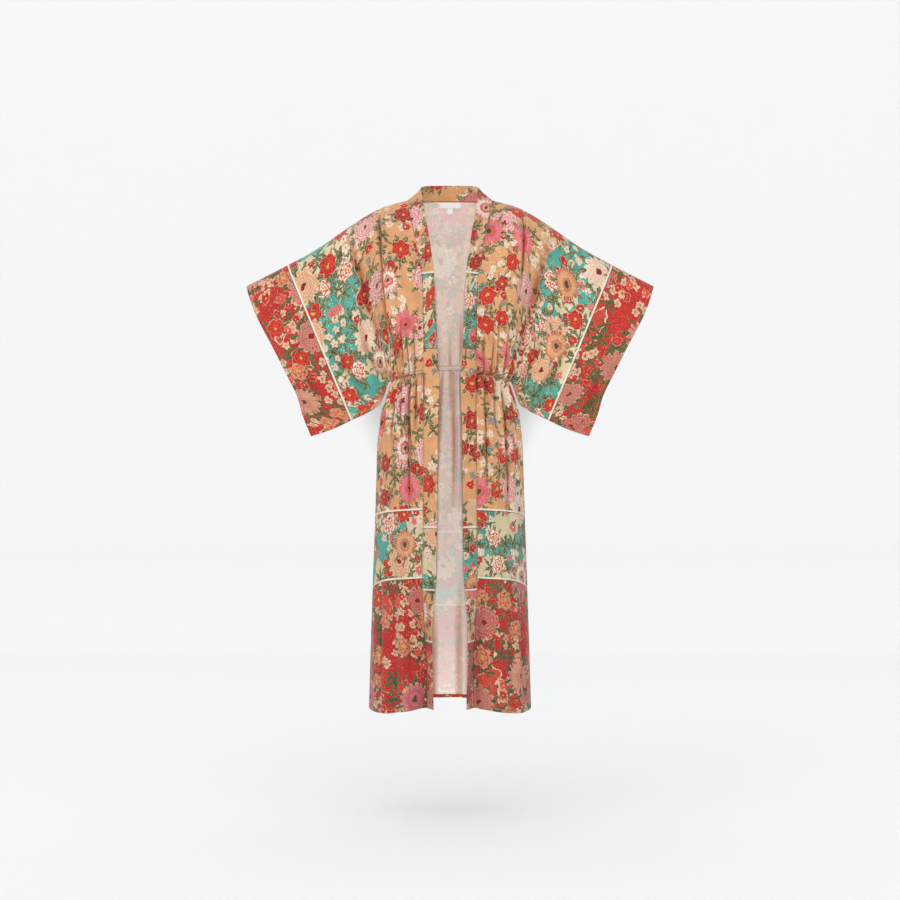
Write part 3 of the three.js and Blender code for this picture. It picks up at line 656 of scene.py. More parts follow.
# Motifs from the lowest layer to the top one. Columns: spacing of the places, radius, petals
# in a ring, rings, how deep the petals part, how they taper (2 gives rounded petals, near 1
# pointed leaves), seed, the share left bare in each zone, the two sets of petal colours and
# the tips by zone, veins by zone, heart, width of the pale outline, and half the width of the
# pale line down each leaf.
LEAF_COLOURS = ((OLIVE, DARK_OLIVE, OLIVE), (DARK_OLIVE, OLIVE, DARK_OLIVE), (OLIVE, OLIVE, OLIVE))
LEAVES = (LEAF_COLOURS, (SAGE, SAGE, MOSS), OLIVE)
MOTIFS = [
    # sprays of tiny buds
    (0.0085, 0.0021, 4, 1, 0.3, 2, 5.2, (0.57, 0.54, 0.57),
     ((CREAM, WHITE, TAN), (PEACH, CREAM, CORAL), (CREAM, WHITE, TAN)),
     (CREAM, CREAM, TAN), CORAL, 0, 0),
    # undergrowth of pointed leaves, thickest in the border
    (0.044, 0.032, 6, 1, 0.88, 1.15, 8.15, (0.59, 0.39, 0.53), *LEAVES, 0.0003, 0.0005),
    # sprigs of narrow leaves
    (0.049, 0.026, 4, 1, 0.9, 0.9, 0.31, (0.57, 0.49, 0.54), *LEAVES, 0.0002, 0.0005),
    # cream blossom with a dark heart, in loose sprays
    (0.026, 0.0115, 5, 1, 0.34, 2, 1.73, (0.54, 0.56, 0.53),
     ((CREAM, WHITE, TAN), (CREAM, CREAM, TAN), (WHITE, CREAM, CREAM)),
     (CORAL, CORAL, CORAL), DEEP_RED, 0.0004, 0),
    # small red and teal blossom
    (0.037, 0.0125, 6, 2, 0.5, 2, 6.41, (0.55, 0.54, 0.54),
     ((RED, RED, CORAL), (TEAL, PINK, RED), (CORAL, CORAL, CORAL)),
     (DEEP_RED, DEEP_RED, DEEP_RED), CREAM, 0.0005, 0),
    # roses with four rings of broad petals, over leaves
    (0.073, 0.043, 8, 1, 0.85, 1.1, 2.57, (0.45, 0.45, 0.43), *LEAVES, 0.0003, 0.0005),
    (0.073, 0.027, 6, 4, 0.95, 2, 2.57, (0.45, 0.45, 0.43),
     ((RED, RED, RED), (DEEP_RED, WHITE, TAN), (CORAL, CORAL, CORAL)),
     (DEEP_RED, DEEP_RED, DEEP_RED), GOLD, 0.0006, 0),
    # pompon chrysanthemums with many rings of short petals, over leaves
    (0.135, 0.066, 9, 1, 0.8, 1.1, 7.37, (0.49, 0.47, 0.47), *LEAVES, 0.0003, 0.0006),
    (0.135, 0.044, 13, 6, 1.25, 2, 7.37, (0.49, 0.47, 0.47),
     ((PINK, APRICOT, DUSKY), (CREAM, CREAM, ROSE), (WHITE, CREAM, TAN)),
     (ROSE, CORAL, DEEP_RED), DEEP_RED, 0.0008, 0),
    # chrysanthemums with two rings of long petals, over leaves
    (0.15, 0.065, 10, 1, 0.82, 1, 3.91, (0.49, 0.45, 0.5), *LEAVES, 0.0003, 0.0006),
    (0.15, 0.042, 17, 2, 0.62, 2, 3.91, (0.49, 0.45, 0.5),
     ((WHITE, WHITE, DUSKY), (PINK, APRICOT, TAN), (CORAL, RED, PINK)),
     (ROSE, CREAM, ROSE), OLIVE, 0.0014, 0),
]

floral, takes, gives = new_group("floral print", {"Vector": ["Cut"]}, {"Color": ["Color"]})
cut = takes.outputs[0]
ZONED = {"node_tree": by_zone}

# The screens were cut by hand, so every outline wavers by 2 or 3 mm
waver = add(floral, "TexNoise", FLAT_NOISE, Vector=cut, Scale=75.0, Detail=1.0)
centred = add(floral, "VectorMath", "SUBTRACT", waver.outputs["Color"], (0.5, 0.5, 0.5))
wavered = add(floral, "VectorMath", "SCALE", centred, Scale=0.011)
cut_place = add(floral, "VectorMath", "ADD", cut, wavered)
past_a = add(floral, "Attribute", {"attribute_name": "border_a"}).outputs["Fac"]
past_b = add(floral, "Attribute", {"attribute_name": "border_b"}).outputs["Fac"]
zone = [add(floral, "Math", "GREATER_THAN", past, 0.0) for past in (past_a, past_b)]

# Large soft patches of a second ground, each with a fine cream outline
PATCH_SHARES = [(share, share, share, 1) for share in (0.33, 0.44, 0.33)]
patch_noise = add(floral, "TexNoise", FLAT_NOISE, Vector=cut_place, Scale=8.5, Detail=1.5)
patch_share = add(floral, "Group", ZONED, *PATCH_SHARES, *zone)
patch_edge = add(floral, "Math", "SUBTRACT", patch_share, patch_noise)
in_patch = add(floral, "Math", "GREATER_THAN", patch_edge, 0.0)
near_patch = add(floral, "Math", "GREATER_THAN", patch_edge, -0.012)
ground = add(floral, "Group", ZONED, APRICOT, TEAL, RED, *zone)
second_ground = add(floral, "Group", ZONED, PEACH, STRAW, RUST, *zone)
outlined = add(floral, "MixRGB", None, near_patch, ground, CREAM)
colour = add(floral, "MixRGB", None, in_patch, outlined, second_ground)

# Fine pale stipple over the grounds, about 3 mm apart
stipple = add(floral, "TexVoronoi", FLAT_CELLS, Vector=cut_place, Scale=340.0)
speck = add(floral, "Math", CLAMPED, stipple.outputs["Distance"], -2.2, 0.5)
colour = add(floral, "MixRGB", None, speck, colour, CREAM)

for *shape, shares, colours, veins, heart, rim, rib_width in MOTIFS:
    bare = add(floral, "Group", ZONED, *[(share, share, share, 1) for share in shares], *zone)
    motif = add(floral, "Group", {"node_tree": flower}, cut_place, *shape, bare)
    edge, tone, line, middle, pick, rib, side_vein = motif.outputs[:7]
    sets = [add(floral, "Group", ZONED, *row, *zone) for row in (*colours, veins)]
    first, second, tip, vein = sets
    which = add(floral, "Math", "GREATER_THAN", pick, 0.5)
    petal = add(floral, "MixRGB", None, which, first, second)
    at_tip = add(floral, "Math", CLAMPED, tone, 2.2, -1.1)
    petal = add(floral, "MixRGB", None, at_tip, petal, tip)
    if rib_width:
        on_rib = add(floral, "Math", "LESS_THAN", rib, rib_width)
        on_vein = add(floral, "Math", "LESS_THAN", side_vein, 0.13)
        drawn = add(floral, "Math", "MAXIMUM", on_rib, on_vein)
    else:
        drawn = add(floral, "Math", "MULTIPLY", line, 0.75)
    petal = add(floral, "MixRGB", None, drawn, petal, vein)
    petal = add(floral, "MixRGB", None, middle, petal, heart)
    in_rim = add(floral, "Math", "GREATER_THAN", edge, -rim)
    in_petal = add(floral, "Math", "GREATER_THAN", edge, 0.0)
    colour = add(floral, "MixRGB", None, in_rim, colour, CREAM)
    colour = add(floral, "MixRGB", None, in_petal, colour, petal)

# A cream stripe 4 mm wide along each line of the border, with a fine dark edge below it
for past in (past_a, past_b):
    for half_width, stripe in ((0.0028, DARK_OLIVE), (0.0022, WHITE)):
        on_stripe = add(floral, "Math", "COMPARE", past, half_width, half_width)
        colour = add(floral, "MixRGB", None, on_stripe, colour, stripe)

# The dye takes unevenly: a few per cent lighter and darker over a hand's width. Lower down,
# painted shade draws the print up to a seventh darker towards the hem
uneven = add(floral, "TexNoise", FLAT_NOISE, Vector=cut_place, Scale=26.0, Detail=3.0)
grain = add(floral, "TexNoise", FLAT_NOISE, Vector=cut, Scale=380.0, Detail=3.0)
both = add(floral, "Math", "MULTIPLY_ADD", grain, 1.5, uneven)
lift = add(floral, "Math", "MULTIPLY_ADD", both, 0.42, 0.46)
painted_low_shade = add(floral, "Attribute", {"attribute_name": "painted_low_shade"}).outputs["Fac"]
fall = add(floral, "Math", "MULTIPLY_ADD", painted_low_shade, -0.15, 1.0)
lift = add(floral, "Math", "MULTIPLY", lift, fall)
bright = add(floral, "HueSaturation", None, Value=lift, Color=colour)
floral.links.new(bright.outputs[0], gives.inputs[0])


def viscose(name, wrong_side):
    """Printed plain-weave viscose: the threads and a fine crepe crinkle show as relief."""
    material, tree = new_material(name)
    cut = add(tree, "UVMap", {"uv_map": "cloth"})
    cloth_colour = add(tree, "Group", {"node_tree": floral}, cut)
    # The wrong side is paler, as the print shows only faintly through, and it is drawn brighter
    # still, as painted light standing in for light through the thin cloth
    if wrong_side:
        cloth_colour = add(tree, "HueSaturation", None, Saturation=1.3, Value=1.3, Color=cloth_colour)
        cloth_colour = add(tree, "MixRGB", None, 0.68, cloth_colour, linear("FFFAF5"))
    # Painted shade: the cloth is drawn darker down in a fold and along the waist seam, where less
    # light reaches it; a fold seen from inside is a ridge
    depth = add(tree, "Attribute", {"attribute_name": "fold_depth"}).outputs["Fac"]
    way = -1 if wrong_side else 1
    painted_fold_shade = add(tree, "MapRange", None, depth, 0.0008 * way, 0.0045 * way, 0.0, 1.0)
    painted_fold_shade_colour = add(tree, "MixRGB", {"blend_type": "MULTIPLY"}, 1.0, cloth_colour, linear("C9A48E"))
    cloth_colour = add(tree, "MixRGB", None, painted_fold_shade, cloth_colour, painted_fold_shade_colour)
    # Threads lie 0.25 mm apart on the real cloth and are drawn 1.3 mm apart to show
    thread_gap = 0.0013
    uv = add(tree, "SeparateXYZ", None, cut)
    warp = add(tree, "Math", "MULTIPLY", uv.outputs[0], 2 * math.pi / thread_gap)
    weft = add(tree, "Math", "MULTIPLY", uv.outputs[1], 2 * math.pi / thread_gap)
    over = add(tree, "Math", "SINE", warp)
    under = add(tree, "Math", "SINE", weft)
    weave = add(tree, "Math", "MULTIPLY", over, under)
    crinkle = add(tree, "TexNoise", FLAT_NOISE, Vector=cut, Scale=210.0, Detail=3.0)
    rumple = add(tree, "TexNoise", FLAT_NOISE, Vector=cut, Scale=45.0, Detail=2.0)
    # Rows of stitches, 3 mm each, along the turned edges and both sides of the waist seam
    stitch = 0.003
    gap = add(tree, "Attribute", {"attribute_name": "stitch_gap"}).outputs["Fac"]
    on_row = add(tree, "Math", "COMPARE", gap, 0.0, 0.0006)
    run = add(tree, "Math", "ADD", uv.outputs[0], uv.outputs[1])
    beat = add(tree, "Math", "MULTIPLY", run, 2 * math.pi / stitch)
    swing = add(tree, "Math", "SINE", beat)
    dash = add(tree, "Math", "GREATER_THAN", swing, -0.5)
    thread = add(tree, "Math", "MULTIPLY", on_row, dash)
    cloth_colour = add(tree, "MixRGB", None, thread, cloth_colour, linear("C98F5C"))
    near = add(tree, "Math", "MULTIPLY", gap, 1 / 0.0015)
    apart = add(tree, "Math", "MULTIPLY", near, near)
    drawn_in = add(tree, "Math", {"operation": "SUBTRACT", "use_clamp": True}, 1.0, apart)
    low = add(tree, "Math", "MULTIPLY_ADD", weave, 0.12, crinkle)
    low = add(tree, "Math", "MULTIPLY_ADD", drawn_in, -1.6, low)
    low = add(tree, "Math", "ADD", low, thread)
    relief = add(tree, "Math", "MULTIPLY_ADD", rumple, 3.0, low)
    bump = add(tree, "Bump", None, Strength=0.8, Distance=0.0011, Height=relief)
    look = {"Base_Color": cloth_colour, "Roughness": 0.76, "Specular_IOR_Level": 0.24, "Normal": bump}
    cloth = add(tree, "BsdfPrincipled", None, Sheen_Weight=0.12, Sheen_Roughness=0.45, **look)
    add(tree, "OutputMaterial", None, cloth)
    return material


# The print lies on the face of the cloth and only shows faintly through on the wrong side
viscose_face = viscose("printed viscose", False)
viscose_wrong = viscose("printed viscose wrong side", True)


# The border's two lines on a sleeve: x and z at the sleeve top and at the underarm
SHOULDER_LINE = ((0.271, -0.091), (0.145, -0.427))
CUFF_LINE = ((0.3985, -0.155), (0.241, -0.541))
SHOULDER_LINE_FINENESS = 4  # its stripe is this many times as fine as the others
# The two waves in which it wanders: height, pace down the sleeve, and start
SHOULDER_LINE_WAVES = [(0.013, 34, 1.2), (0.006, 81, 0.4)]


def sleeve_line(points, top, foot):
    """How far each point lies outside a straight line down the sleeve, seen square on."""
    way = np.array(foot) - np.array(top)
    way = way / np.linalg.norm(way)
    offset = np.stack([np.abs(points[..., 0]), points[..., 2]], axis=-1) - np.array(top)
    return offset[..., 0] * -way[1] + offset[..., 1] * way[0]


def sleeve_borders(points):
    """The sleeve's border: a wandering line near the shoulder and a straight one by the cuff."""
    waves = SHOULDER_LINE_WAVES
    wander = sum(high * np.sin(points[..., 2] * pace + start) for high, pace, start in waves)
    inner = (sleeve_line(points, *SHOULDER_LINE) + wander) * SHOULDER_LINE_FINENESS
    return {"border_a": inner, "border_b": sleeve_line(points, *CUFF_LINE)}


ROWS = 131
SLEEVE_COLUMNS = 71
BODICE_HELD = (14, 3)  # rows that the seams hold flat, at the top and at the foot
# The cut is wider than the gathered waist: the print is spread to match, most at the foot
gathered = 1 + GATHERED_IN * np.linspace(0, 1, ROWS)[:, None] ** 3
sleeve_across = np.linspace(1, 2, SLEEVE_COLUMNS)[1:]
half_across = np.concatenate([np.linspace(0, 1, 81), sleeve_across])
across, share = np.meshgrid(half_across, np.linspace(0, 1, ROWS))
half = bodice_surface(BACK, across, share)
back_points = np.concatenate([half[:, ::-1], (half * FLIP)[:, 1:]], axis=1)

# Creases of the back: pulled up from the waist, and slanting in from the sleeves
BACK_CREASES = [
    ([(0.03, -0.414), (0.036, -0.33), (0.034, -0.24)], 0.0052, 0.0049, 1),
    ([(-0.052, -0.416), (-0.06, -0.35), (-0.071, -0.26)], 0.0059, 0.0057, 1),
    ([(0.098, -0.42), (0.108, -0.33), (0.126, -0.21)], 0.0065, 0.0057, 1),
    ([(-0.11, -0.424), (-0.117, -0.36), (-0.13, -0.3)], 0.0052, 0.0049, 1),
    ([(0.134, -0.432), (0.15, -0.35), (0.166, -0.19), (0.171, -0.05)], 0.0065, 0.0066, 1),
    ([(-0.132, -0.43), (-0.152, -0.33), (-0.166, -0.2), (-0.172, -0.06)], 0.0072, 0.0066, 1),
    ([(0.16, -0.47), (0.215, -0.36), (0.27, -0.2)], 0.0057, 0.013, 0),
    ([(-0.165, -0.48), (-0.235, -0.37), (-0.262, -0.22)], 0.0052, 0.012, 0),
    ([(0.19, -0.51), (0.28, -0.4), (0.34, -0.27)], 0.004, 0.014, 0),
    ([(-0.2, -0.52), (-0.27, -0.44), (-0.35, -0.3)], 0.0046, 0.015, 0),
    ([(0.335, -0.56), (0.372, -0.45), (0.395, -0.34)], 0.0034, 0.012, 0),
    ([(-0.3, -0.56), (-0.36, -0.43), (-0.41, -0.26)], 0.0034, 0.013, 0),
]
back_points = press_creases(back_points, BACK_CREASES, BODICE_HELD)
on_body = np.concatenate([half_across[::-1], half_across[1:]]) <= 1
bodice_back = sew_panel(
    "bodice_back",
    back_points,
    gathered,
    (3.1, 0.4),
    sleeve_borders(back_points),
    np.minimum(runs_back(back_points, 1), runs_along(back_points, 1)),
    np.where(on_body, runs_back(back_points, 0), 1.0),
)


# Bodice fronts: each front and its sleeve front in one panel of the same viscose, sewn to
# the back at the shoulder, sleeve top and underarm, and gathered at the waist. The inner
# edge is sewn into the band. Each side has creases of its own.
FRONT_LINES = [
    (0, 0.104, 0.065, 0.093, 0.19, 0.3, 3),
    (0.3, 0.132, 0.1, 0.1, 0.165, 0.6, 3),
    (0.6, 0.17, 0.128, 0.098, 0.13, 0.9, 2.4),
    (1, 0.232, 0.145, 0.074, 0.08, 1, 1.3),
    (1.15, 0.262, 0.153, 0.062, 0.064, 1, 1.35),
    (1.3, 0.3, 0.171, 0.052, 0.054, 1, 1.4),
    (1.5, 0.352, 0.207, 0.045, 0.047, 1, 1.5),
    (1.66, 0.398, 0.243, 0.041, 0.044, 1, 1.5),
    (1.83, 0.449, 0.291, 0.038, 0.042, 1, 1.5),
    (2, 0.5, 0.342, 0.036, 0.04, 1, 1.5),
]

# Drop below the nape, and x of the band seam there
NECKLINE = [
    (0.004, 0.104), (0.049, 0.097), (0.12, 0.082), (0.175, 0.072),
    (0.215, 0.067), (0.374, 0.064), (0.432, 0.065),
]

# Folds and gathers of the fronts, in the same measures as those of the back
FRONT_FOLDS = [
    (0.07, 0.034, 0.0045, 0.075, 0.12),
    (0.2, 0.038, 0.006, 0.15, 0.26),
    (0.33, 0.038, 0.0055, 0.09, 0.11),
    (0.46, 0.04, 0.0065, 0.2, 0.33),
    (0.6, 0.038, 0.005, 0.11, 0.14),
    (0.75, 0.042, 0.007, 0.29, 0.23),
    (0.9, 0.036, 0.005, 0.12, 0.09),
]
FRONT_PUCKERS = [
    (0.03, 0.014, 0.0039, 0.045, 0.06),
    (0.115, 0.015, 0.0049, 0.083, 0.075),
    (0.155, 0.014, 0.0036, 0.042, 0.045),
    (0.245, 0.015, 0.0051, 0.068, 0.105),
    (0.288, 0.013, 0.0039, 0.105, 0.045),
    (0.38, 0.015, 0.0051, 0.053, 0.083),
    (0.418, 0.013, 0.0035, 0.09, 0.042),
    (0.508, 0.015, 0.0049, 0.045, 0.09),
    (0.553, 0.014, 0.004, 0.075, 0.053),
    (0.65, 0.015, 0.0051, 0.06, 0.075),
    (0.698, 0.014, 0.0036, 0.098, 0.045),
    (0.805, 0.015, 0.0049, 0.053, 0.09),
    (0.85, 0.013, 0.0036, 0.075, 0.045),
    (0.95, 0.014, 0.0035, 0.045, 0.068),
]
FRONT = {
    "front": True,
    "way": -1,
    "lines": [curve(FRONT_LINES, column) for column in range(1, 7)],
    "folds": FRONT_FOLDS + FRONT_PUCKERS,
    "waist_depth": 0.095,
    "waist_rise": 0.02,
    "neckline": curve(NECKLINE, 1),
}
RIGHT_FRONT_CREASES = [
    ([(-0.172, -0.028), (-0.171, -0.093), (-0.165, -0.203), (-0.153, -0.329), (-0.136, -0.42)],
     0.0078, 0.0045, 1),
    ([(-0.128, -0.43), (-0.139, -0.37), (-0.147, -0.29)], 0.0072, 0.0041, 1),
    ([(-0.113, -0.43), (-0.119, -0.35), (-0.123, -0.25)], 0.0065, 0.0045, 1),
    ([(-0.099, -0.432), (-0.103, -0.38), (-0.106, -0.32)], 0.0059, 0.0037, 1),
    ([(-0.086, -0.432), (-0.087, -0.36), (-0.089, -0.27)], 0.0059, 0.0041, 1),
    ([(-0.139, -0.44), (-0.152, -0.4), (-0.162, -0.35)], 0.0065, 0.0041, 1),
    ([(-0.155, -0.46), (-0.205, -0.37), (-0.235, -0.24)], 0.0052, 0.011, 0),
    ([(-0.18, -0.505), (-0.262, -0.41), (-0.31, -0.29)], 0.0046, 0.014, 0),
    ([(-0.29, -0.55), (-0.345, -0.44), (-0.372, -0.33)], 0.0029, 0.013, 0),
]
LEFT_FRONT_CREASES = [
    ([(0.178, -0.03), (0.18, -0.1), (0.176, -0.19), (0.164, -0.3)], 0.0065, 0.0049, 1),
    ([(0.13, -0.432), (0.143, -0.36), (0.152, -0.27)], 0.0072, 0.0041, 1),
    ([(0.115, -0.43), (0.118, -0.34), (0.127, -0.24)], 0.0065, 0.0045, 1),
    ([(0.1, -0.432), (0.106, -0.37), (0.108, -0.3)], 0.0059, 0.0037, 1),
    ([(0.083, -0.432), (0.083, -0.37), (0.081, -0.31)], 0.0059, 0.0041, 1),
    ([(0.14, -0.44), (0.156, -0.39), (0.166, -0.33)], 0.0065, 0.0041, 1),
    ([(0.158, -0.47), (0.212, -0.38), (0.248, -0.26)], 0.0046, 0.012, 0),
    ([(0.19, -0.51), (0.25, -0.43), (0.322, -0.31)], 0.0052, 0.013, 0),
    ([(0.31, -0.56), (0.352, -0.47), (0.388, -0.35)], 0.0034, 0.012, 0),
]

front_across = np.concatenate([np.linspace(0, 1, 121), sleeve_across])
across, share = np.meshgrid(front_across, np.linspace(0, 1, ROWS))
front_half = bodice_surface(FRONT, across, share)
front_points = {}
for side, facing, creases, place in (
    ("left", 1, LEFT_FRONT_CREASES, (0.2, 5.3)),
    ("right", -1, RIGHT_FRONT_CREASES, (7.9, 2.2)),
):
    points = front_half[:, ::facing] * np.array([facing, 1, 1])
    points = press_creases(points, creases, BODICE_HELD)
    front_points[side] = points
    from_cuff = runs_back(points[:, ::facing], 1)[:, ::facing]
    from_waist = np.where(front_across[::facing] <= 1, runs_back(points, 0), 1.0)
    borders = sleeve_borders(points)
    node = "bodice_front_" + side
    piece = sew_panel(
        node, points, gathered, place, borders, from_cuff, from_waist
    )


# Skirt: a back panel and two front panels of the same viscose, each cut as wide as its hem
# and gathered to the waist seam, with side seams, a stitched hem, and front edges sewn into
# the band. Low down each front rolls back beside its band, as a soft flute does.

# Rings down the skirt: share of the way down, half its width, its depth off the seam plane
# in front and at the back, x of its front edge, how far that edge rolls back, and how far
# a soft ridge beside it stands out
SKIRT_RINGS = [
    (0, 0.145, 0.095, 0.1, 0.065, 0, 0),
    (0.025, 0.151, 0.097, 0.103, 0.065, 0, 0),
    (0.068, 0.161, 0.101, 0.11, 0.065, 0, 0),
    (0.13, 0.171, 0.105, 0.117, 0.065, 0, 0.001),
    (0.19, 0.178, 0.107, 0.12, 0.065, 0, 0.002),
    (0.3, 0.181, 0.11, 0.121, 0.065, 0, 0.003),
    (0.42, 0.184, 0.112, 0.121, 0.065, 0.001, 0.005),
    (0.56, 0.188, 0.114, 0.122, 0.0665, 0.003, 0.007),
    (0.64, 0.19, 0.116, 0.122, 0.066, 0.009, 0.009),
    (0.75, 0.193, 0.119, 0.123, 0.062, 0.025, 0.011),
    (0.87, 0.196, 0.122, 0.124, 0.0565, 0.034, 0.013),
    (1, 0.199, 0.125, 0.125, 0.0575, 0.037, 0.015),
]

# Place across a panel, and z of its hem there
FRONT_HEM = [(0, -1.239), (0.2, -1.244), (0.5, -1.252), (0.8, -1.252), (1, -1.248)]
BACK_HEM = [(0, -1.244), (0.5, -1.247), (1, -1.248)]
ROLL_ACROSS = 0.2  # the rolled edge reaches this far across a front
RIDGE_AT = 0.45  # the ridge beside it stands here, this wide
RIDGE_WIDTH = 0.26
ring_half, ring_front, ring_back, ring_edge, ring_roll, ring_ridge = [
    curve(SKIRT_RINGS, column) for column in range(1, 7)
]


def skirt_surface(face, across, drop, hem, ring_depth):
    """Points of a skirt panel at places across it and shares of the way down it."""
    way = face["way"]
    angle = ring_angle(face["front"], across, WAIST_HALF, WAIST_EDGE_X)
    top_z = WAIST_SIDE_Z + face["waist_rise"] * np.cos(angle)
    z = top_z + (hem(across) - top_z) * drop
    half_width = ring_half(drop)
    angle = ring_angle(face["front"], across, half_width, ring_edge(drop))
    draw = fold_depth(face["folds"], across, top_z - z, 4)
    draw = draw + SEAM_PULL * bell(top_z - z, SEAM_PULL_RUN)
    x = (half_width - draw) * np.sin(angle)
    y = SEAM_PLANE + way * (ring_depth(drop) - draw) * np.cos(angle)
    if face["front"]:
        roll = np.maximum(0, 1 - across / ROLL_ACROSS)
        ridge = ring_ridge(drop) * bell(across - RIDGE_AT, RIDGE_WIDTH)
        y = y + ring_roll(drop) * roll * roll * (3 - 2 * roll)
        y = y - ridge * np.minimum(1, (1 - across) / 0.3)
    y = SEAM_PLANE + np.maximum(way * (y - SEAM_PLANE), 0) * way
    return np.stack([x, y, z], axis=-1)


SKIRT_ROWS = 191
SKIRT_HELD = (3, 0)  # its waist seam holds these rows flat, and its hem none
BACK_SKIRT_CREASES = [
    ([(0.02, -0.412), (0.023, -0.6), (0.018, -0.86)], 0.0087, 0.0066, 1),
    ([(-0.03, -0.413), (-0.037, -0.56), (-0.045, -0.72)], 0.0072, 0.0066, 1),
    ([(0.07, -0.416), (0.085, -0.62), (0.09, -0.98)], 0.0074, 0.01, 1),
    ([(-0.085, -0.418), (-0.1, -0.6), (-0.112, -1.05)], 0.0086, 0.011, 1),
    ([(0.113, -0.424), (0.135, -0.55), (0.146, -0.78)], 0.0072, 0.0066, 1),
    ([(-0.125, -0.43), (-0.15, -0.57), (-0.158, -0.74)], 0.0072, 0.0057, 1),
    ([(0.05, -1.247), (0.048, -1.05), (0.056, -0.86)], 0.0074, 0.014, 1),
    ([(-0.065, -1.247), (-0.063, -1.1), (-0.07, -0.93)], 0.0074, 0.013, 1),
    ([(0.14, -1.247), (0.137, -1.08), (0.13, -0.9)], 0.0061, 0.011, 1),
]
skirt_across, skirt_drop = np.meshgrid(np.linspace(0, 1, 121), np.linspace(0, 1, SKIRT_ROWS))
half = skirt_surface(BACK, skirt_across, skirt_drop, curve(BACK_HEM, 1), ring_back)
skirt_back_points = np.concatenate([half[:, ::-1], (half * FLIP)[:, 1:]], axis=1)
skirt_back_points = press_creases(skirt_back_points, BACK_SKIRT_CREASES, SKIRT_HELD)

# Heights of the two lines of the border, from the middle of each panel to its side
BACK_LINE_A = [(0, -0.823), (0.6, -0.819), (1, -0.785)]
BACK_LINE_B = [(0, -1.008), (0.6, -1.002), (1, -0.965)]
FRONT_LINE_A = [(0, -0.757), (0.5, -0.764), (1, -0.779)]
FRONT_LINE_B = [(0, -0.921), (0.5, -0.93), (1, -0.958)]
LOW_SHADE_HEIGHT = 0.4  # below the waist the painted shade deepens over this height


def sew_skirt(side, points, place, across, line_a, line_b):
    """A skirt panel. Each row's flat width is spread out to the hem's, as it was cut."""
    widths = np.linalg.norm(np.diff(points, axis=1), axis=-1).sum(axis=1)
    hem_wide = (widths[-1] / widths)[:, None]
    height = points[..., 2]
    borders = {
        # painted shade: the print is drawn darker towards the hem
        "painted_low_shade": np.clip((WAIST_SIDE_Z - height) / LOW_SHADE_HEIGHT, 0, 1),
        "border_a": curve(line_a, 1)(across) - height,
        "border_b": curve(line_b, 1)(across) - height,
    }
    from_hem = runs_back(points, 0)
    from_waist = runs_along(points, 0)
    return sew_panel(
        "skirt_" + side, points, hem_wide, place, borders, from_hem, from_waist
    )


whole_across = np.concatenate([skirt_across[:, ::-1], skirt_across[:, 1:]], axis=1)
skirt_back = sew_skirt(
    "back", skirt_back_points, (1.4, 8.2), whole_across, BACK_LINE_A, BACK_LINE_B
)

RIGHT_SKIRT_CREASES = [
    ([(-0.083, -0.432), (-0.084, -0.52), (-0.083, -0.6)], 0.0087, 0.0045, 1),
    ([(-0.098, -0.434), (-0.099, -0.51), (-0.1, -0.66), (-0.097, -0.8)], 0.0101, 0.0057, 1),
    ([(-0.115, -0.436), (-0.12, -0.49), (-0.123, -0.57)], 0.0087, 0.0041, 1),
    ([(-0.128, -0.438), (-0.14, -0.52), (-0.146, -0.63)], 0.0087, 0.0049, 1),
    ([(-0.138, -0.443), (-0.156, -0.5), (-0.166, -0.6)], 0.0072, 0.0041, 1),
    ([(-0.13, -1.25), (-0.135, -1.1), (-0.14, -0.92), (-0.136, -0.76)], 0.0074, 0.012, 1),
    ([(-0.095, -1.247), (-0.094, -1.05), (-0.098, -0.9)], 0.0049, 0.011, 0),
    ([(-0.17, -1.25), (-0.168, -1.05), (-0.166, -0.85)], 0.0072, 0.0066, 0),
]
LEFT_SKIRT_CREASES = [
    ([(0.066, -0.432), (0.067, -0.5), (0.064, -0.57)], 0.0072, 0.0041, 1),
    ([(0.087, -0.433), (0.088, -0.52), (0.091, -0.66), (0.09, -0.78)], 0.0101, 0.0057, 1),
    ([(0.105, -0.435), (0.109, -0.5), (0.111, -0.58)], 0.0087, 0.0041, 1),
    ([(0.124, -0.438), (0.135, -0.53), (0.142, -0.69), (0.14, -0.82)], 0.0087, 0.0057, 1),
    ([(0.139, -0.444), (0.157, -0.51), (0.167, -0.62)], 0.0072, 0.0041, 1),
    ([(0.098, -1.25), (0.1, -1.08), (0.104, -0.88)], 0.0061, 0.012, 1),
    ([(0.15, -1.25), (0.146, -1.1), (0.145, -0.93)], 0.0074, 0.011, 1),
    ([(0.178, -1.25), (0.174, -1.1), (0.17, -0.97)], 0.0058, 0.0057, 0),
]
skirt_across, skirt_drop = np.meshgrid(np.linspace(0, 1, 161), np.linspace(0, 1, SKIRT_ROWS))
front_half = skirt_surface(FRONT, skirt_across, skirt_drop, curve(FRONT_HEM, 1), ring_front)
skirt_front_points = {}
for side, facing, creases, place in (
    ("left", 1, LEFT_SKIRT_CREASES, (5.9, 8.3)),
    ("right", -1, RIGHT_SKIRT_CREASES, (3.6, 7.7)),
):
    points = front_half[:, ::facing] * np.array([facing, 1, 1])
    points = press_creases(points, creases, SKIRT_HELD)
    skirt_front_points[side] = points
    across = skirt_across[:, ::facing]
    piece = sew_skirt("front_" + side, points, place, across, FRONT_LINE_A, FRONT_LINE_B)


# Bands: one strip of the viscose folded double round the neck and down both fronts, sewn
# on over the raw edges and joined below the bust. It stands up at the back of the neck.
BAND_WIDTH = 0.041
BAND_JOIN_Z = -0.373
BAND_THICKNESS = 0.0017
SEAM_GAP = 0.0003
BAND_STITCH = 0.002  # the band is edge-stitched this far from its seam

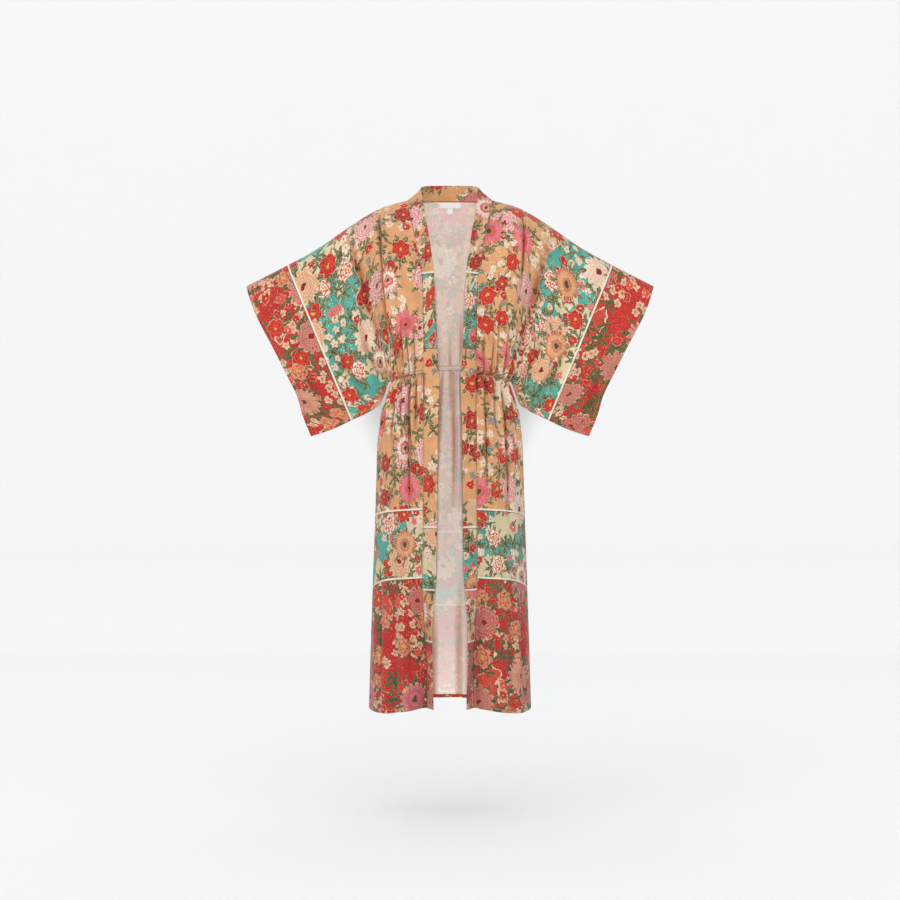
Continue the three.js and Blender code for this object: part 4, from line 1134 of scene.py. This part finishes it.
# Which way the band runs from its seam, by distance along it from the nape:
# inward, forward and up
BAND_RUN = [
    (0, 0, 0.08, 1),
    (0.05, 0.1, 0.18, 0.98),
    (0.088, 0.44, 0.2, 0.87),
    (0.108, 0.78, 0.1, 0.62),
    (0.153, 0.8, 0.36, 0.47),
    (0.224, 0.76, 0.57, 0.3),
    (0.319, 0.7, 0.69, 0.15),
    (0.478, 0.8, 0.6, 0),
    (0.536, 0.88, 0.47, 0),
    (0.878, 0.82, 0.57, 0),
    (1.026, 0.8, 0.6, 0),
    (1.06, 0.71, 0.7, 0),
    (1.151, 0.44, 0.9, 0),
    (1.242, 0.33, 0.94, 0),
    (1.345, 0.43, 0.9, 0),
]
inward, forward, upward = [curve(BAND_RUN, column) for column in range(1, 4)]


def band_points(edge, normals, along):
    """A strip of points, from a seam with the panel's normals to the band's free edge."""
    tangent = np.gradient(edge, axis=0)
    tangent /= np.linalg.norm(tangent, axis=-1, keepdims=True)
    off = np.cross(normals, tangent)
    off /= np.linalg.norm(off, axis=-1, keepdims=True)
    side = np.sign(edge[:, 0])
    run = np.stack([-side * inward(along), -forward(along), upward(along)], axis=-1)
    run /= np.linalg.norm(run, axis=-1, keepdims=True)
    start = edge + off * SEAM_GAP
    width = np.linspace(0, BAND_WIDTH, 13)[None, :, None]
    return start[:, None] + run[:, None] * width


# Heights of the print's lines on the band: where its border starts on the neck band, where
# it starts and ends on the front bands, and where the deep zone starts
NECK_BORDER = -0.19
FRONT_BORDER = (-0.8, -0.954)
DEEP_START = -1.074


def band_piece(node, edge, normals, along, place, length):
    """One stretch of the band, from its seam to its free edge."""
    points = band_points(edge, normals, along)
    height = points[..., 2]
    past_a = np.minimum(FRONT_BORDER[0] - height, height - FRONT_BORDER[1])
    from_seam = np.broadcast_to(np.linspace(0, BAND_WIDTH, points.shape[1]), height.shape)
    marks = {
        "border_a": NECK_BORDER - height if node == "neck_band" else past_a,
        "border_b": DEEP_START - height,
        # painted shade: darker towards the hem, as on the skirt
        "painted_low_shade": np.clip((WAIST_SIDE_Z - height) / LOW_SHADE_HEIGHT, 0, 1),
        "stitch_gap": from_seam - BAND_STITCH,
    }
    piece = cloth_piece(node + "_cloth", points, 1, place, marks)
    close_shell(piece, viscose_face, viscose_face, BAND_THICKNESS, node)


left_bodice = front_points["left"]
left_skirt = skirt_front_points["left"]
bodice_normals = grid_normals(left_bodice)[:, 0]
skirt_normals = grid_normals(left_skirt)[1:, 0]
front_edge = np.concatenate([left_bodice[:, 0], left_skirt[1:, 0]])
front_normals = np.concatenate([bodice_normals, skirt_normals])
front_along = NECK_HALF - front_edge[:, 2]
upper = front_edge[:, 2] > BAND_JOIN_Z
on_neck = np.abs(back_points[0, :, 0]) < NECK_HALF - 0.002
neck_edge = back_points[0][on_neck]
neck_normals = grid_normals(back_points)[0][on_neck]


def round_neck(down_front, round_back, flip):
    """Values along the neck band: up the left front, round the back and down the right."""
    return np.concatenate([down_front[::-1], round_back, down_front * flip])


band_piece(
    "neck_band",
    round_neck(front_edge[upper], neck_edge, FLIP),
    round_neck(front_normals[upper], neck_normals, FLIP),
    round_neck(front_along[upper], np.abs(neck_edge[:, 0]), 1),
    (4.3, 1.9),
    1.05,
)
lower = front_edge[~upper], front_normals[~upper]
lower_along = front_along[~upper]
upwards = [values[::-1] for values in lower]
band_piece("front_band_left", *upwards, lower_along[::-1], (9.6, 3.2), 0.89)
flipped = [values * FLIP for values in lower]
band_piece("front_band_right", *flipped, lower_along, (5.2, 7.4), 0.89)


# Label and size tab: bare white woven satin, folded at the ends and sewn inside the back
# neck, the small tab tucked under the label's lower edge.
satin, tree = new_material("white label satin")
where = add(tree, "TexCoord").outputs["Object"]
ribs = add(
    tree,
    "TexWave",
    {"wave_type": "BANDS", "bands_direction": "X"},
    Vector=where,
    Scale=900.0,
    Distortion=0.4,
)
fleck = add(tree, "TexNoise", None, Vector=where, Scale=600.0, Detail=2.0)
height = add(tree, "Math", "ADD", ribs.outputs["Fac"], fleck)
shade = add(tree, "MixRGB", None, fleck, linear("FFFFFF"), linear("F1EEE8"))
relief = add(tree, "Bump", None, Strength=0.3, Distance=0.0002, Height=height)
look = {"Base_Color": shade, "Roughness": 0.42, "Sheen_Weight": 0.1, "Normal": relief}
coat = add(tree, "BsdfPrincipled", None, **look)
add(tree, "OutputMaterial", None, coat)

PATCH_OFF = 0.0016  # the patch lies this far in front of the back panel, give or take a
PATCH_WAVE = 0.0004  # shallow wave
drops = runs_along(back_points, 0)[:, back_points.shape[1] // 2]


def back_place(x, drop):
    """The point of the back panel at a distance down its middle line, at that x."""
    row = np.interp(drop, drops, np.arange(len(drops)))
    low = int(min(math.floor(row), len(drops) - 2))
    line = back_points[low] * (1 - row + low) + back_points[low + 1] * (row - low)
    line = line[np.argsort(line[:, 0])]
    return [x, np.interp(x, line[:, 0], line[:, 1]), np.interp(x, line[:, 0], line[:, 2])]


# Each patch: name, node, width, and how far below the neck seam it starts and ends
for name, node, width, top, foot in (
    ("neck_label_satin", "neck_label", 0.055, 0.0005, 0.0155),
    ("size_tab_satin", "size_tab", 0.015, 0.0158, 0.0308),
):
    places = np.linspace(width / 2, -width / 2, 23)
    grid = np.array([[back_place(x, d) for x in places] for d in np.linspace(top, foot, 13)])
    inset = PATCH_OFF + PATCH_WAVE * np.sin(np.linspace(0, 3 * math.pi, 23))[None, :, None]
    grid = grid - grid_normals(grid) * inset
    patch = cloth_piece(name, grid, 1, (0, 0), {})
    close_shell(patch, satin, satin, CLOTH_THICKNESS, node)
